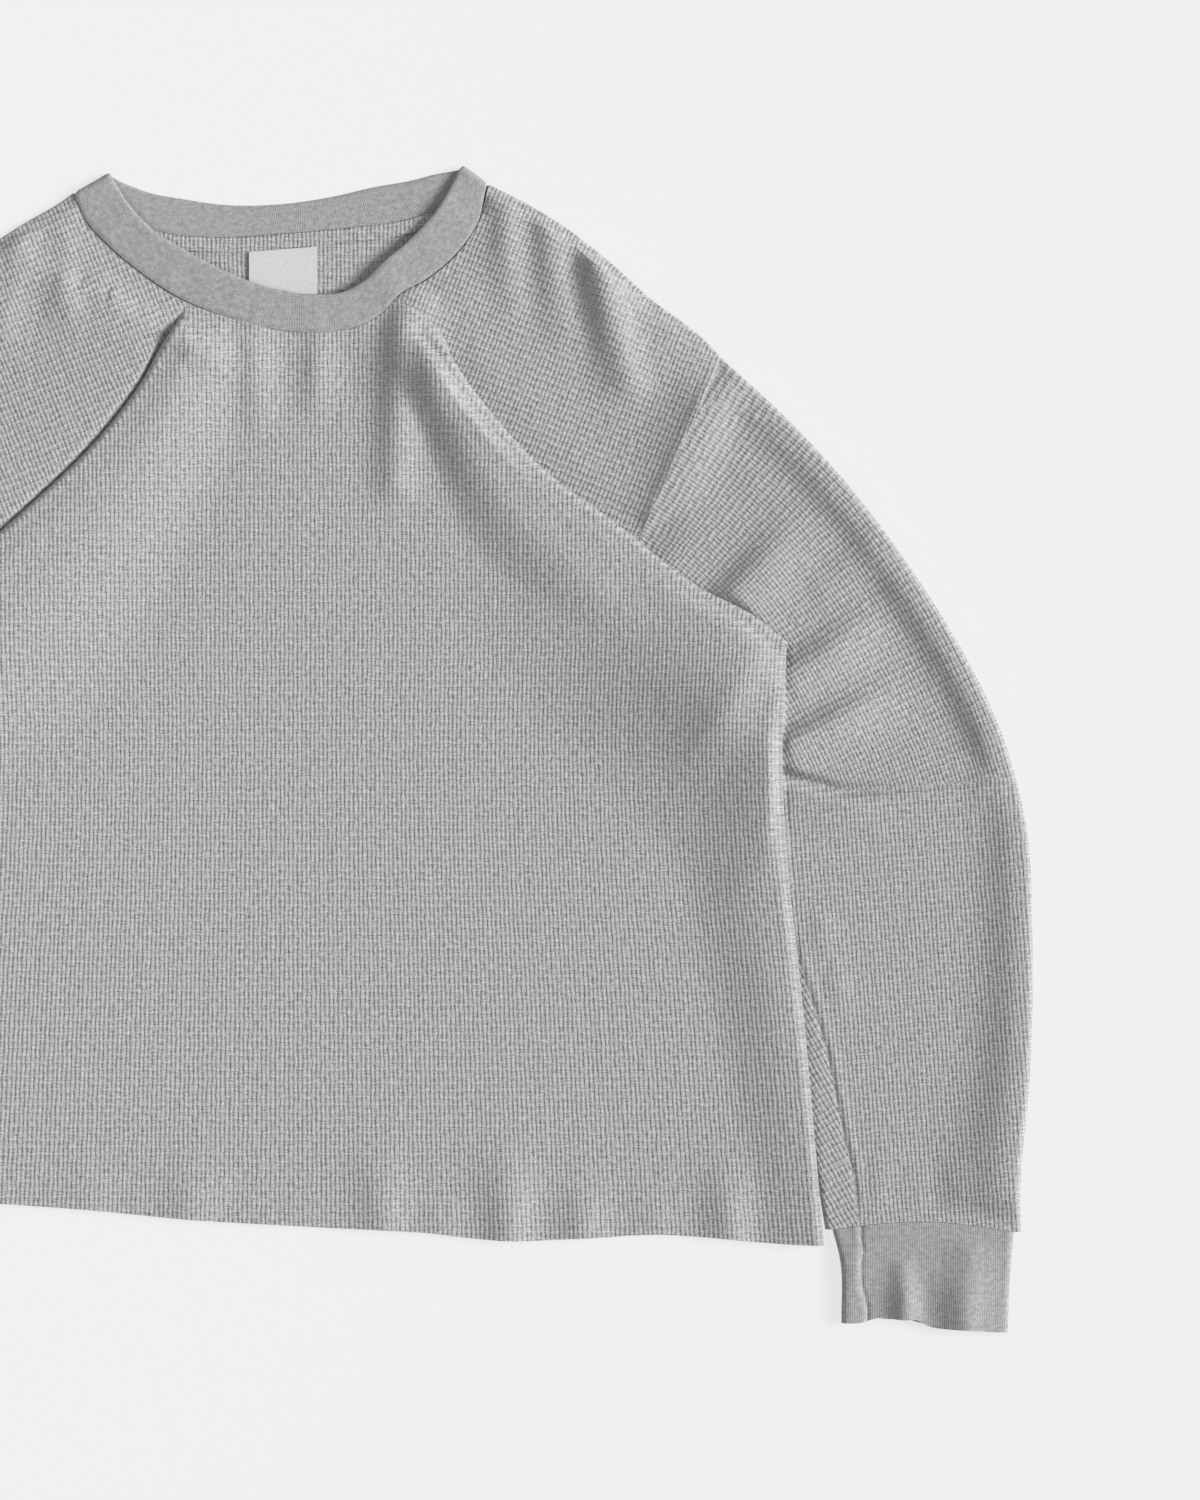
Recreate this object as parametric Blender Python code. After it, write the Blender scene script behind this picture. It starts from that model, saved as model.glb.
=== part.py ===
"""Long-sleeved crew-neck thermal top in waffle knit, laid flat on its back.

The front and back panels lie on each other with the sleeves tucked beneath the
body, so both panels fold over along a diagonal from the neck to each underarm.
Plan sizes are millimetres: +X to the wearer's left, +Y to the neck, Z up from
the surface that the top lies on. Meshes are made in metres.
"""

import math

import bpy
import numpy as np

MM = 0.001

# Cloth
WALL = 1.6  # thickness of the waffle knit
SEAM_GAP = 0.3  # air between two pieces that are sewn together
RIB_WALL = 2.2  # collar and cuffs are doubled rib
TAPE_WALL = 1.2
LABEL_WALL = 1.0
PAIR_OUTER = WALL + SEAM_GAP / 2  # from the sheet midway between both panels to their outer faces
PAIR_INNER = SEAM_GAP / 2
FOLD_RADIUS = 2.2  # of that middle sheet, where both panels turn over

# Underarm folds: how deep the cloth is folded under, along the length of the fold
UNDER_START = 1.0
UNDER_PER_LENGTH = 0.12
UNDER_AT_UNDERARM = 2.0
TURN_GROWS_OVER = {-1: 30.0, 1: 56.0}  # length over which the cloth comes to turn right over
SHELF_MARGIN = 5.0  # the body stays level this far past the folded edge below it
SHELF_FALL = 46.0  # and comes down to the surface over this width
SHELF_LEVEL = 4.5  # the cloth itself is level this far, a little less than its rows
FULL_STACK_BEFORE = 20.0  # length before the armhole over which the stack comes to full height
FOLD_EASE_IN = 60.0  # length from the neck over which the fold comes to its full roundness

# The body over the sleeves
SLEEVE_LIFT = 4.7
STACK_LIFT = 4 * FOLD_RADIUS
LIFT_RISES = (-42.0, -9.0)  # across the sleeve's inner edge
STACK_LIFT_FROM_TO = (-50.0, 40.0)  # in y
TUCK_CLEARANCE = 0.9  # between a sleeve and what covers it
FULL_ROOM_FROM_TO = (14.0, 38.0)  # from the folded-under panels, inward
FOLD_CLEARANCE = 4.0  # highest that a sleeve reaches below the folded-under panels
SLEEVE_EASE = 15.0  # a sleeve comes down over this width beyond the body's side
SLEEVE_FREE_FROM_TO = (2.0, 22.0)  # beyond the side, where a sleeve's own folds begin
SLEEVE_LOFT = 1.2  # a sleeve's two faces stand this much apart
FRONT_EASE = 1.2  # the front stands this much off the back

# Outlines, each a smooth curve through (x, y). The right half is the wearer's left, at +X.
NECK_SEAM_FRONT = (
    (-119, 311.5), (-111.5, 296), (-97.5, 280.5), (-80, 266), (-60, 253), (-26, 240),
    (0, 234), (22, 233.5), (42, 237), (54, 244), (64, 254.5), (79, 263), (91.5, 273),
    (100.5, 283), (108, 295), (114, 316),
)
NECK_EDGE_FRONT = (
    (-99, 323), (-84.5, 301), (-72, 289), (-57, 280), (-41.5, 271.5), (-23, 263),
    (-3, 257), (17, 254.5), (32, 256), (42, 261), (56, 274), (68, 284), (76, 292),
    (83, 300), (89, 309), (99, 327),
)
NECK_SEAM_BACK = (
    (-119, 311.5), (-97, 300), (-72, 290), (-39, 286.5), (-3, 288.5), (36, 292),
    (65, 296), (92, 305), (114, 316),
)
NECK_EDGE_BACK = (
    (-99, 323), (-82, 313.5), (-57, 308), (-32, 304.7), (2, 305.7), (29, 310),
    (49, 314.7), (70, 318.4), (99, 327),
)
FOLD_STARTS = {-1: -54.0, 1: 60.0}  # x on the front neck seam
FOLDS = {
    -1: ((57, 239), (69, 223), (80, 206), (103, 176), (146, 134), (190, 97), (235, 66), (281, 40)),
    1: ((74, 242), (85, 229), (109, 196), (143, 158), (187, 125), (231, 91), (260, 76), (281, 60)),
}
SHOULDERS = {
    -1: ((119, 311.5), (126.6, 306), (149, 293), (180, 271), (204.5, 248), (234, 226), (245, 215)),
    1: ((114, 316), (131, 307.5), (150, 296.5), (180, 274), (204.5, 252), (234, 229.5), (245, 218)),
}
SIDE = ((281.5, 60), (278.8, 5), (279.4, -23), (282.2, -67.5), (287.8, -118), (302.4, -277))
HEM = (
    (-303, -247), (-160, -254), (-104, -258), (-64, -262), (20, -267.2), (77, -270.2),
    (122, -274.7), (165, -273.5), (213, -271.3), (237, -272.7), (272, -275.8), (303, -277.5),
)
SLEEVE_OUTER = (
    (245, 218), (281, 184.5), (321.4, 139.7), (353.9, 94.9), (381.4, 50), (402, 5),
    (413.8, -39.5), (417.8, -106.7), (416.5, -180), (411, -250), (411.5, -270),
)
SLEEVE_INNER = (
    (189, 96), (222, 40), (254, -28), (270, -101), (285, -165), (296.4, -235), (301.9, -268.5),
)
SLEEVE_END_BOW = 5.0  # the cuff seam bows towards the shoulder
BOWED_SECTIONS = 5  # of the sleeve, at its end
TUBE_EDGE = 3.2  # half the width of a sleeve's or cuff's rounded edge
ARMHOLE_BLEND = 0.15  # share of the sleeve over which its edges come in to the armhole
CUFF_OUTER = ((407.5, -270.7), (405, -300), (404, -326.25))
CUFF_INNER = ((306, -269.3), (310, -285), (311, -321))
CUFF_EDGE_WAVES = ((0.31, 4.0, 0.15), (0.20, 1.5, 0.05), (0.45, 2.4, 0.06))  # at, up, width

# Large soft folds of the cloth: a ridge from (x0, y0) to (x1, y1), its half-width and height
FRONT_FOLDS = (
    (65, 247, 61, 150, 10, 3.4),
    (-18, 238, -17, 190, 9, 1.6),
    (18, 234, 17, 195, 8, 1.2),
    (130, -272, 133, -200, 13, 1.8),
    (255, -275, 250, -190, 12, 2.0),
    (-42, -262, -44, -210, 14, 1.5),
    (262, 10, 276, -40, 20, 2.0),
)
SHOULDER_FOLDS = (
    (176, 280, 192, 206, 9, 4.0),
    (150, 292, 158, 235, 9, 1.6),
    (121, 300, 126, 250, 8, 1.2),
    (236, 200, 206, 134, 9, 2.0),
)
SLEEVE_FOLDS = (
    (262, 196, 330, 118, 7, 3.2),
    (330, 118, 385, 28, 8, 4.2),
    (385, 28, 407, -50, 8, 3.6),
    (408, -60, 409, -190, 7, 2.4),
    (284, 92, 352, 66, 13, 2.4),
    (290, 52, 368, 30, 12, 2.2),
    (290, 22, 380, -2, 12, 2.4),
    (294, -34, 392, -36, 12, 3.0),
    (311, -120, 312, -215, 10, 1.6),
)
CUFF_FOLDS = (
    (316, -285, 316, -322, 6, 1.6),
    (345, -296, 350, -324, 6, 2.0),
    (383, -285, 388, -326, 10, 2.0),
)

CUFF_WALL = 1.8
CUFF_LOFT = 0.8
CUFF_FOLDS_FROM_TO = (-272.0, -280.0)  # in y

# Collar heights above the surface, at the middle of the rib
BAND_SEAM_FRONT = 4.5
BAND_EDGE_FRONT = 6.2
BAND_BACK = RIB_WALL / 2
BAND_PANEL_GAP = 1.0
BAND_BACK_TUCK = 3.4  # the back's band is narrower where the front's band covers its ends
SHOULDER_BLEND = 0.12  # share of the front over which the band comes down to its shoulder fold
BAND_SHOULDER = 4.6
BAND_END_SHARE = 0.1  # of its length, over which the band draws in to its shoulder fold
BAND_ROUNDS_AT = 0.93  # share of its width where the edge starts to round off

# Neck tape and label
TAPE_WIDTH = 8.0
TAPE_HALF_SPAN = 82.0
LABEL_CENTRE_X = -1.6
LABEL_SIZE = (38.0, 36.0)
TAPE_BELOW_SEAM = 0.6
LABEL_BELOW_TAPE = 1.2
TRIM_HEIGHT = WALL + 1.4 * SEAM_GAP  # of the underside of tape and label

# Widths over which folds of the cloth die out towards an edge
CALM_AT_FOLD = 14.0
CALM_AT_SIDE = 10.0
CALM_BEYOND_FOLD = (5.0, 20.0)
CALM_AT_SHOULDER = 10.0

# Divisions of the meshes
FOLD_COLUMNS = 9  # from the neck to the armhole
COLUMN_CROWDING = 1.5  # they stand closer together at the neck
UNDERARM_COLUMNS = 7  # on to the underarm
NECK_COLUMNS = 14
FALL_ROWS = (0.35, 0.7, 1.0)  # shares of the shelf's fall
BODY_ROWS = 17
TURN_STEPS = 5
UNDER_STEPS = 2
SHOULDER_ROWS = 8
RIM_STEPS = 1
BACK_NECK_ROWS = 3
SLEEVE_SECTIONS = 24
SLEEVE_TOP_STEPS = 12
SLEEVE_BOTTOM_STEPS = 3
EDGE_STEPS = 3
CUFF_SECTIONS = 4
BAND_FRONT_SECTIONS = 44
BAND_BACK_SECTIONS = 22
BAND_TURN_SECTIONS = 5
CURVE_STEPS = 24
FOLD_SAMPLING = 6
SHOULDER_SAMPLING = 8
TAPE_STEPS = 16
LABEL_STEPS = 4
RIM_ANGLE = math.radians(80)
SHARP_ANGLE = math.radians(50)
FLATTEST = 0.12  # bends weaker than this share are left out of an offset

# Colours
HEATHER_GREY = (0.40, 0.40, 0.405, 1.0)
RIB_GREY = (0.34, 0.34, 0.345, 1.0)
LABEL_WHITE = (0.82, 0.82, 0.82, 1.0)


def smooth(low, high, value):
    """Rise from 0 at low to 1 at high without a corner."""
    t = np.clip((value - low) / (high - low), 0.0, 1.0)
    return t * t * (3 - 2 * t)


def unit(vectors):
    return vectors / np.maximum(np.linalg.norm(vectors, axis=-1, keepdims=True), 1e-12)


class Curve:
    """A smooth plan curve through a few points, read by the distance along it."""

    def __init__(self, knots):
        knots = np.array(knots, float)
        at = np.concatenate([[0], np.cumsum(np.linalg.norm(np.diff(knots, axis=0), axis=1))])
        slopes = np.gradient(knots, at, axis=0)
        places = []
        for i in range(len(knots) - 1):
            t = np.linspace(0, 1, CURVE_STEPS, endpoint=False)[:, None]
            span = at[i + 1] - at[i]
            places.append(
                (2 * t**3 - 3 * t**2 + 1) * knots[i]
                + (t**3 - 2 * t**2 + t) * span * slopes[i]
                + (3 * t**2 - 2 * t**3) * knots[i + 1]
                + (t**3 - t**2) * span * slopes[i + 1]
            )
        self.points = np.vstack(places + [knots[-1:]])
        steps = np.linalg.norm(np.diff(self.points, axis=0), axis=1)
        self.along = np.concatenate([[0], np.cumsum(steps)])
        self.length = self.along[-1]

    def at(self, distance):
        x = np.interp(distance, self.along, self.points[:, 0])
        y = np.interp(distance, self.along, self.points[:, 1])
        return np.stack([x, y], axis=-1)

    def direction(self, distance, reach=2.0):
        distance = np.asarray(distance, float)
        ahead = self.at(np.minimum(distance + reach, self.length))
        behind = self.at(np.maximum(distance - reach, 0))
        return unit(ahead - behind)

    def left_of(self, distance):
        """The unit normal on the left of the way along the curve."""
        way = self.direction(distance)
        return np.stack([-way[..., 1], way[..., 0]], axis=-1)

    def nearest(self, places):
        """Distance along to the nearest point, and the signed distance (+ on the left)."""
        gaps = places[:, None, :] - self.points[None, :, :]
        index = np.argmin((gaps**2).sum(-1), axis=1)
        along = self.along[index]
        gap = places - self.points[index]
        side = (gap * self.left_of(along)).sum(-1)
        return along, np.copysign(np.linalg.norm(gap, axis=-1), side)

    def where_x(self, x):
        """Distance along at which the curve, which runs towards +X, crosses x."""
        return np.interp(x, self.points[:, 0], self.along)

    def moved(self, offset):
        """The same curve moved to its left."""
        return self.points + self.left_of(self.along) * offset


def soft_ridges(x, y, rows):
    """Sum of soft ridges, each along a straight stretch of the plan."""
    total = np.zeros_like(x)
    for x0, y0, x1, y1, width, height in rows:
        run = np.array([x1 - x0, y1 - y0], float)
        t = np.clip(((x - x0) * run[0] + (y - y0) * run[1]) / (run @ run), 0, 1)
        away = np.hypot(x - x0 - t * run[0], y - y0 - t * run[1])
        total += height * np.exp(-((away / width) ** 2))
    return total


def blend_edges(bottom, top, left, right):
    """A grid of plan points that fills four edge curves (rows from bottom to top)."""
    across = np.linspace(0, 1, len(bottom))[None, :, None]
    up = np.linspace(0, 1, len(left))[:, None, None]
    ruled = (1 - up) * bottom[None] + up * top[None]
    sides = (1 - across) * left[:, None] + across * right[:, None]
    corners = (
        (1 - up) * ((1 - across) * bottom[0] + across * bottom[-1])
        + up * ((1 - across) * top[0] + across * top[-1])
    )
    return ruled + sides - corners


class Half:
    """One half of the top, in plan coordinates mirrored to +X (hand is -1 or 1)."""

    def __init__(self, hand, neck_seam):
        self.hand = hand
        start = neck_seam.at(neck_seam.where_x(FOLD_STARTS[hand])) * (hand, 1)
        outline = Curve((tuple(start),) + FOLDS[hand])
        inset = FOLD_RADIUS + PAIR_OUTER
        ease_in = smooth(0, FOLD_EASE_IN, outline.along)[:, None]
        middle = outline.points - outline.left_of(outline.along) * inset * ease_in
        self.fold = Curve(middle[::FOLD_SAMPLING])
        self.shoulder = Curve(Curve(SHOULDERS[hand]).moved(-WALL)[::SHOULDER_SAMPLING])
        self.inner = Curve(SLEEVE_INNER)
        self.armhole_foot = self.fold.nearest(np.array([SLEEVE_INNER[0]], float))[0][0]
        self.side = Curve(SIDE)

    def half_width(self, y):
        ys = self.side.points[::-1, 1]
        return np.interp(y, ys, self.side.points[::-1, 0]) - WALL

    def turn(self, s):
        """Angle through which the cloth turns at the fold, at distance s along it."""
        return math.pi * smooth(0, TURN_GROWS_OVER[self.hand], s)

    def under(self, s):
        """Width of cloth that lies folded under."""
        grown = UNDER_START + UNDER_PER_LENGTH * s
        fade = smooth(self.armhole_foot, self.fold.length, s)
        return grown + (UNDER_AT_UNDERARM - grown) * fade

    def rise(self, s):
        """Height of the body over the shoulder part, along the fold."""
        turn = self.turn(s)
        rise = 2 * FOLD_RADIUS * (1 - np.cos(turn)) + self.under(s) * np.sin(turn)
        beyond = smooth(self.armhole_foot - FULL_STACK_BEFORE, self.armhole_foot, s)
        return rise + (STACK_LIFT - rise) * beyond

    def lift(self, x, y):
        """Height of the body above where it would lie with nothing beneath it."""
        shape = np.shape(x)
        places = np.stack([np.ravel(x), np.ravel(y)], axis=-1)
        s, _ = self.fold.nearest(places)
        away = np.linalg.norm(places - self.fold.at(s), axis=-1)
        shelf = self.under(s) + SHELF_LEVEL
        over_fold = self.rise(s) * (1 - smooth(shelf, shelf + SHELF_FALL, away))
        _, left = self.inner.nearest(places)
        height = SLEEVE_LIFT + (STACK_LIFT - SLEEVE_LIFT) * smooth(*STACK_LIFT_FROM_TO, places[:, 1])
        over_sleeve = height * smooth(*LIFT_RISES, left)
        return np.maximum(over_fold, over_sleeve).reshape(shape)


NECK_FRONT = Curve(NECK_SEAM_FRONT)
HALVES = {hand: Half(hand, NECK_FRONT) for hand in (-1, 1)}
HEM_CURVE = Curve(HEM)


class Sheet:
    """A sheet of triangles in the middle of a cloth wall or pair of walls."""

    def __init__(self):
        self.places = []
        self.ease = []  # how far the front stands off the back at each point
        self.faces = []
        self.rounded = set()  # points on an edge that is folded and not open

    def add(self, place, ease=0.0):
        self.places.append(place)
        self.ease.append(ease)
        return len(self.places) - 1

    def fill(self, grid):
        """Triangles over a grid of point numbers, with each square cut along its shorter way."""
        for lower, upper in zip(grid[:-1], grid[1:]):
            for i in range(len(lower) - 1):
                a, b, c, d = lower[i], lower[i + 1], upper[i + 1], upper[i]
                if self.gap(a, c) <= self.gap(b, d) + 0.01:
                    pair = (a, b, c), (a, c, d)
                else:
                    pair = (a, b, d), (b, c, d)
                self.faces += [list(face) for face in pair if len(set(face)) == 3]

    def gap(self, a, b):
        return math.dist(self.places[a], self.places[b])

    def face_normals(self):
        places = np.array(self.places)
        normals = []
        for face in self.faces:
            a, b, c = places[face]
            normals.append(np.cross(b - a, c - a))
        return unit(np.array(normals))

    def offsets(self):
        """At each point, the step that moves every face around it out by one."""
        normals = self.face_normals()
        around = [[] for _ in self.places]
        for face, normal in zip(self.faces, normals):
            for point in face:
                around[point].append(normal)
        steps = []
        for group in around:
            group = np.array(group)
            steps.append(np.linalg.pinv(group, rcond=FLATTEST) @ np.ones(len(group)))
        return np.array(steps)

    def edges_once(self):
        """Edges used by one face, each in that face's direction."""
        seen = {}
        for face in self.faces:
            for a, b in zip(face, face[1:] + face[:1]):
                if (b, a) in seen:
                    del seen[(b, a)]
                else:
                    seen[(a, b)] = True
        return list(seen)


def wall(name, sheet, outer, inner, keep_ease, flip=False, rim_steps=RIM_STEPS):
    """A closed wall between two distances from the sheet. Its folded edges are rounded."""
    middle = np.array(sheet.places)
    steps = sheet.offsets()
    ease = np.array(sheet.ease)[:, None] if keep_ease else 0.0
    side = -1.0 if flip else 1.0
    outside = middle + side * steps * (outer + ease)
    outside[:, 2] = np.maximum(outside[:, 2], 0)
    inside = middle + side * steps * (inner + ease)
    count = len(middle)
    vertices = list(outside) + list(inside)
    faces = [list(face) for face in sheet.faces]
    faces += [[point + count for point in reversed(face)] for face in sheet.faces]
    border = sheet.edges_once()
    after = {a: b for a, b in border}
    before = {b: a for a, b in border}
    chains = {}
    for point in after:
        chain = [point]
        ahead, behind = after[point], before[point]
        if point in sheet.rounded and ahead not in sheet.rounded:
            ahead = point
        if point in sheet.rounded and behind not in sheet.rounded:
            behind = point
        way = unit(middle[ahead] - middle[behind])
        normal = unit(steps[point])
        out = np.cross(way, normal)
        for k in range(1, rim_steps + 1):
            if point in sheet.rounded:
                angle = RIM_ANGLE * k / rim_steps
                reach = outer - inner
                place = inside[point] + reach * (
                    side * math.cos(angle) * normal + math.sin(angle) * unit(out)
                )
            else:
                t = k / (rim_steps + 1)
                place = outside[point] * (1 - t) + inside[point] * t
            vertices.append(place)
            chain.append(len(vertices) - 1)
        chain.append(point + count)
        chains[point] = chain
    for a, b in border:
        for k in range(len(chains[a]) - 1):
            faces.append([chains[b][k], chains[a][k], chains[a][k + 1], chains[b][k + 1]])
    if flip:
        faces = [face[::-1] for face in faces]
    return make_object(name, np.array(vertices), faces)


def make_object(name, vertices, faces):
    mesh = bpy.data.meshes.new(name)
    mesh.from_pydata([tuple(v) for v in vertices * MM], [], faces)
    mesh.update()
    mesh.validate()
    mesh.shade_smooth()
    mesh.set_sharp_from_angle(angle=SHARP_ANGLE)
    piece = bpy.data.objects.new(name, mesh)
    bpy.context.scene.collection.objects.link(piece)
    return piece


def give_material(piece, name, colour, roughness):
    material = bpy.data.materials.get(name) or bpy.data.materials.new(name)
    material.use_nodes = True
    shader = material.node_tree.nodes["Principled BSDF"]
    shader.inputs["Base Color"].default_value = colour
    shader.inputs["Roughness"].default_value = roughness
    shader.inputs["Metallic"].default_value = 0.0
    piece.data.materials.append(material)


def body_columns():
    """Top of each column of the body: (place, distance along the fold or None, hand)."""
    columns = []
    for hand in (-1, 1):
        half = HALVES[hand]
        to_armhole = half.armhole_foot * np.linspace(0, 1, FOLD_COLUMNS + 1) ** COLUMN_CROWDING
        to_underarm = np.linspace(half.armhole_foot, half.fold.length, UNDERARM_COLUMNS + 1)[1:]
        stops = np.concatenate([to_armhole, to_underarm])
        side = [(half.fold.at(s) * (hand, 1), s, hand) for s in stops]
        columns.append(side)
    left, right = columns
    starts = [NECK_FRONT.where_x(left[0][0][0]), NECK_FRONT.where_x(right[0][0][0])]
    between = np.linspace(*starts, NECK_COLUMNS + 1)[1:-1]
    neck = [(NECK_FRONT.at(d), None, 1 if NECK_FRONT.at(d)[0] > 0 else -1) for d in between]
    return left[::-1] + neck + right


def column_rows(top, s, hand):
    """Heights in y down one column, closer together over the fold's shelf."""
    half = HALVES[hand]
    if s is None:
        shelf, steepness = SHELF_MARGIN, 1.0
    else:
        shelf = float(half.under(s)) + SHELF_MARGIN
        steepness = abs(half.fold.direction(s)[0])
    on_shelf = shelf * np.array([0, 0.5, 1])
    on_fall = shelf + SHELF_FALL * np.array(FALL_ROWS)
    marks = np.concatenate([on_shelf, on_fall])
    upper = top[1] - marks / steepness
    width_here = half.half_width(upper[-1])
    hem_x = top[0] * half.half_width(HEM_CURVE.points[0 if hand < 0 else -1, 1]) / width_here
    hem_y = np.interp(hem_x, HEM_CURVE.points[:, 0], HEM_CURVE.points[:, 1])
    lower = np.linspace(upper[-1], hem_y, BODY_ROWS + 1)[1:]
    return np.concatenate([upper, lower])


def front_ease(half, x, y):
    """How far the body's front stands off the back."""
    places = np.stack([np.ravel(x) * half.hand, np.ravel(y)], axis=-1)
    s, _ = half.fold.nearest(places)
    away = np.linalg.norm(places - half.fold.at(s), axis=-1).reshape(np.shape(x))
    to_side = half.half_width(y) - np.abs(x)
    calm = smooth(0, CALM_AT_FOLD, away) * smooth(0, CALM_AT_SIDE, to_side)
    return np.maximum(FRONT_EASE + soft_ridges(x, y, FRONT_FOLDS), 0) * calm


def add_body(sheet):
    """The part of both panels below the folds. Returns its columns' top points."""
    grid = []
    columns = body_columns()
    for top, s, hand in columns:
        half = HALVES[hand]
        ys = column_rows(top, s, hand)
        scale = half.half_width(ys) / half.half_width(ys[0])
        xs = top[0] * scale
        zs = PAIR_OUTER + half.lift(xs * hand, ys)
        if s is not None:
            zs[0] = PAIR_OUTER + half.rise(s)
        eases = front_ease(half, xs, ys)
        grid.append([sheet.add((x, y, z), e) for x, y, z, e in zip(xs, ys, zs, eases)])
    for column in (grid[0], grid[-1]):
        sheet.rounded.update(column)
    rows = list(map(list, zip(*grid)))
    sheet.fill(rows[::-1])
    return columns, rows[0]


def fold_profile(half, s):
    """(outward, height) of the middle sheet round the fold at s, from the body outward."""
    turn, under = float(half.turn(s)), float(half.under(s))
    out, height = 0.0, PAIR_OUTER + float(half.rise(s))
    profile = []
    for k in range(1, TURN_STEPS + 1):
        angle = turn * k / TURN_STEPS
        profile.append((FOLD_RADIUS * math.sin(angle), height - FOLD_RADIUS * (1 - math.cos(angle))))
    out, height = profile[-1]
    for k in range(1, UNDER_STEPS + 1):
        run = under * k / UNDER_STEPS
        profile.append((out + run * math.cos(turn), height - run * math.sin(turn)))
    if s > half.armhole_foot + 1e-6:
        return profile
    out, height = profile[-1]
    for k in range(1, TURN_STEPS + 1):
        angle = turn * (1 - k / TURN_STEPS)
        profile.append((
            out + FOLD_RADIUS * (math.sin(turn) - math.sin(angle)),
            height - FOLD_RADIUS * (math.cos(angle) - math.cos(turn)),
        ))
    return profile


def add_shoulder(sheet, hand, stops, tops):
    """The fold and the shoulder part beyond it. Returns its neck and armhole edges."""
    half = HALVES[hand]
    full = 1 + 2 * TURN_STEPS + UNDER_STEPS
    strips = []
    for s, top in zip(stops, tops):
        base = half.fold.at(s)
        normal = half.fold.left_of(s)
        strip = [top]
        if s == 0:
            strip *= full
        else:
            for out, height in fold_profile(half, s):
                x, y = base + normal * out
                strip.append(sheet.add((x * hand, y, height)))
        strips.append(strip)
    inner = strips[: FOLD_COLUMNS + 1]
    short = [strip[: 1 + TURN_STEPS + UNDER_STEPS] for strip in strips[FOLD_COLUMNS:]]

    feet = np.array([sheet.places[strip[full - 1]][:2] for strip in inner]) * (hand, 1)
    top_stops = half.shoulder.length * np.linspace(0, 1, FOLD_COLUMNS + 1)
    shoulder = half.shoulder.at(top_stops)
    seam_start = NECK_FRONT.where_x(feet[0][0] * hand)
    seam_end = NECK_FRONT.length if hand > 0 else 0.0
    seam = NECK_FRONT.at(np.linspace(seam_start, seam_end, SHOULDER_ROWS + 1)) * (hand, 1)
    fade = np.linspace(1, 0, SHOULDER_ROWS + 1)[:, None]
    seam = seam + (feet[0] - seam[0]) * fade + (shoulder[0] - seam[-1]) * (1 - fade)
    climb = np.linspace(0, 1, SHOULDER_ROWS + 1)[:, None]
    armhole = feet[-1] * (1 - climb) + shoulder[-1] * climb
    plan = blend_edges(feet, shoulder, seam, armhole)
    for row in range(1, SHOULDER_ROWS + 1):
        x, y = plan[row, :, 0], plan[row, :, 1]
        _, beyond = half.fold.nearest(plan[row])
        to_edge = np.linalg.norm(plan[row] - shoulder, axis=-1)
        calm = smooth(*CALM_BEYOND_FOLD, beyond) * smooth(0, CALM_AT_SHOULDER, to_edge)
        ease = (FRONT_EASE + soft_ridges(x, y, SHOULDER_FOLDS)) * calm
        for i, strip in enumerate(inner):
            strip.append(sheet.add((x[i] * hand, y[i], PAIR_OUTER), ease[i]))
    sheet.rounded.update(strip[-1] for strip in inner)
    for group in (inner, short):
        rows = list(map(list, zip(*group)))
        sheet.fill(rows if hand > 0 else [row[::-1] for row in rows])
    return inner[0][full - 1 :]


def make_pair_sheets():
    """The middle sheet of the front, and the same with the back's higher neck."""
    sheet = Sheet()
    columns, tops = add_body(sheet)
    last = FOLD_COLUMNS + UNDERARM_COLUMNS
    neck_edges = {}
    for hand in (-1, 1):
        if hand < 0:
            chosen, points = columns[: last + 1][::-1], tops[: last + 1][::-1]
        else:
            chosen, points = columns[-last - 1 :], tops[-last - 1 :]
        stops = [s for _, s, _ in chosen]
        neck_edges[hand] = add_shoulder(sheet, hand, stops, points)
    back = Sheet()
    back.places, back.ease = list(sheet.places), list(sheet.ease)
    back.faces, back.rounded = list(sheet.faces), set(sheet.rounded)
    add_back_neck(back, tops[last + 1 : -last - 1], neck_edges)
    return sheet, back


def add_back_neck(sheet, neck_tops, neck_edges):
    """The back between the front's low neckline and its own."""
    lower = neck_edges[-1][::-1] + list(neck_tops) + neck_edges[1]
    curve = Curve(NECK_SEAM_BACK)
    xs = np.array([sheet.places[p][0] for p in lower])
    upper = curve.at(np.linspace(0, curve.length, len(lower)))
    spread = curve.at(curve.where_x(xs))
    upper = (upper + spread) / 2
    upper[0] = sheet.places[lower[0]][:2]
    upper[-1] = sheet.places[lower[-1]][:2]
    rows = [lower]
    for k in range(1, BACK_NECK_ROWS + 1):
        t = k / BACK_NECK_ROWS
        row = [lower[0]]
        for i in range(1, len(lower) - 1):
            x, y, z = sheet.places[lower[i]]
            place = (
                x * (1 - t) + upper[i][0] * t,
                y * (1 - t) + upper[i][1] * t,
                PAIR_OUTER + (z - PAIR_OUTER) * (1 - t) ** 2,
            )
            row.append(sheet.add(place))
        rows.append(row + [lower[-1]])
    sheet.fill(rows)


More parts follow.
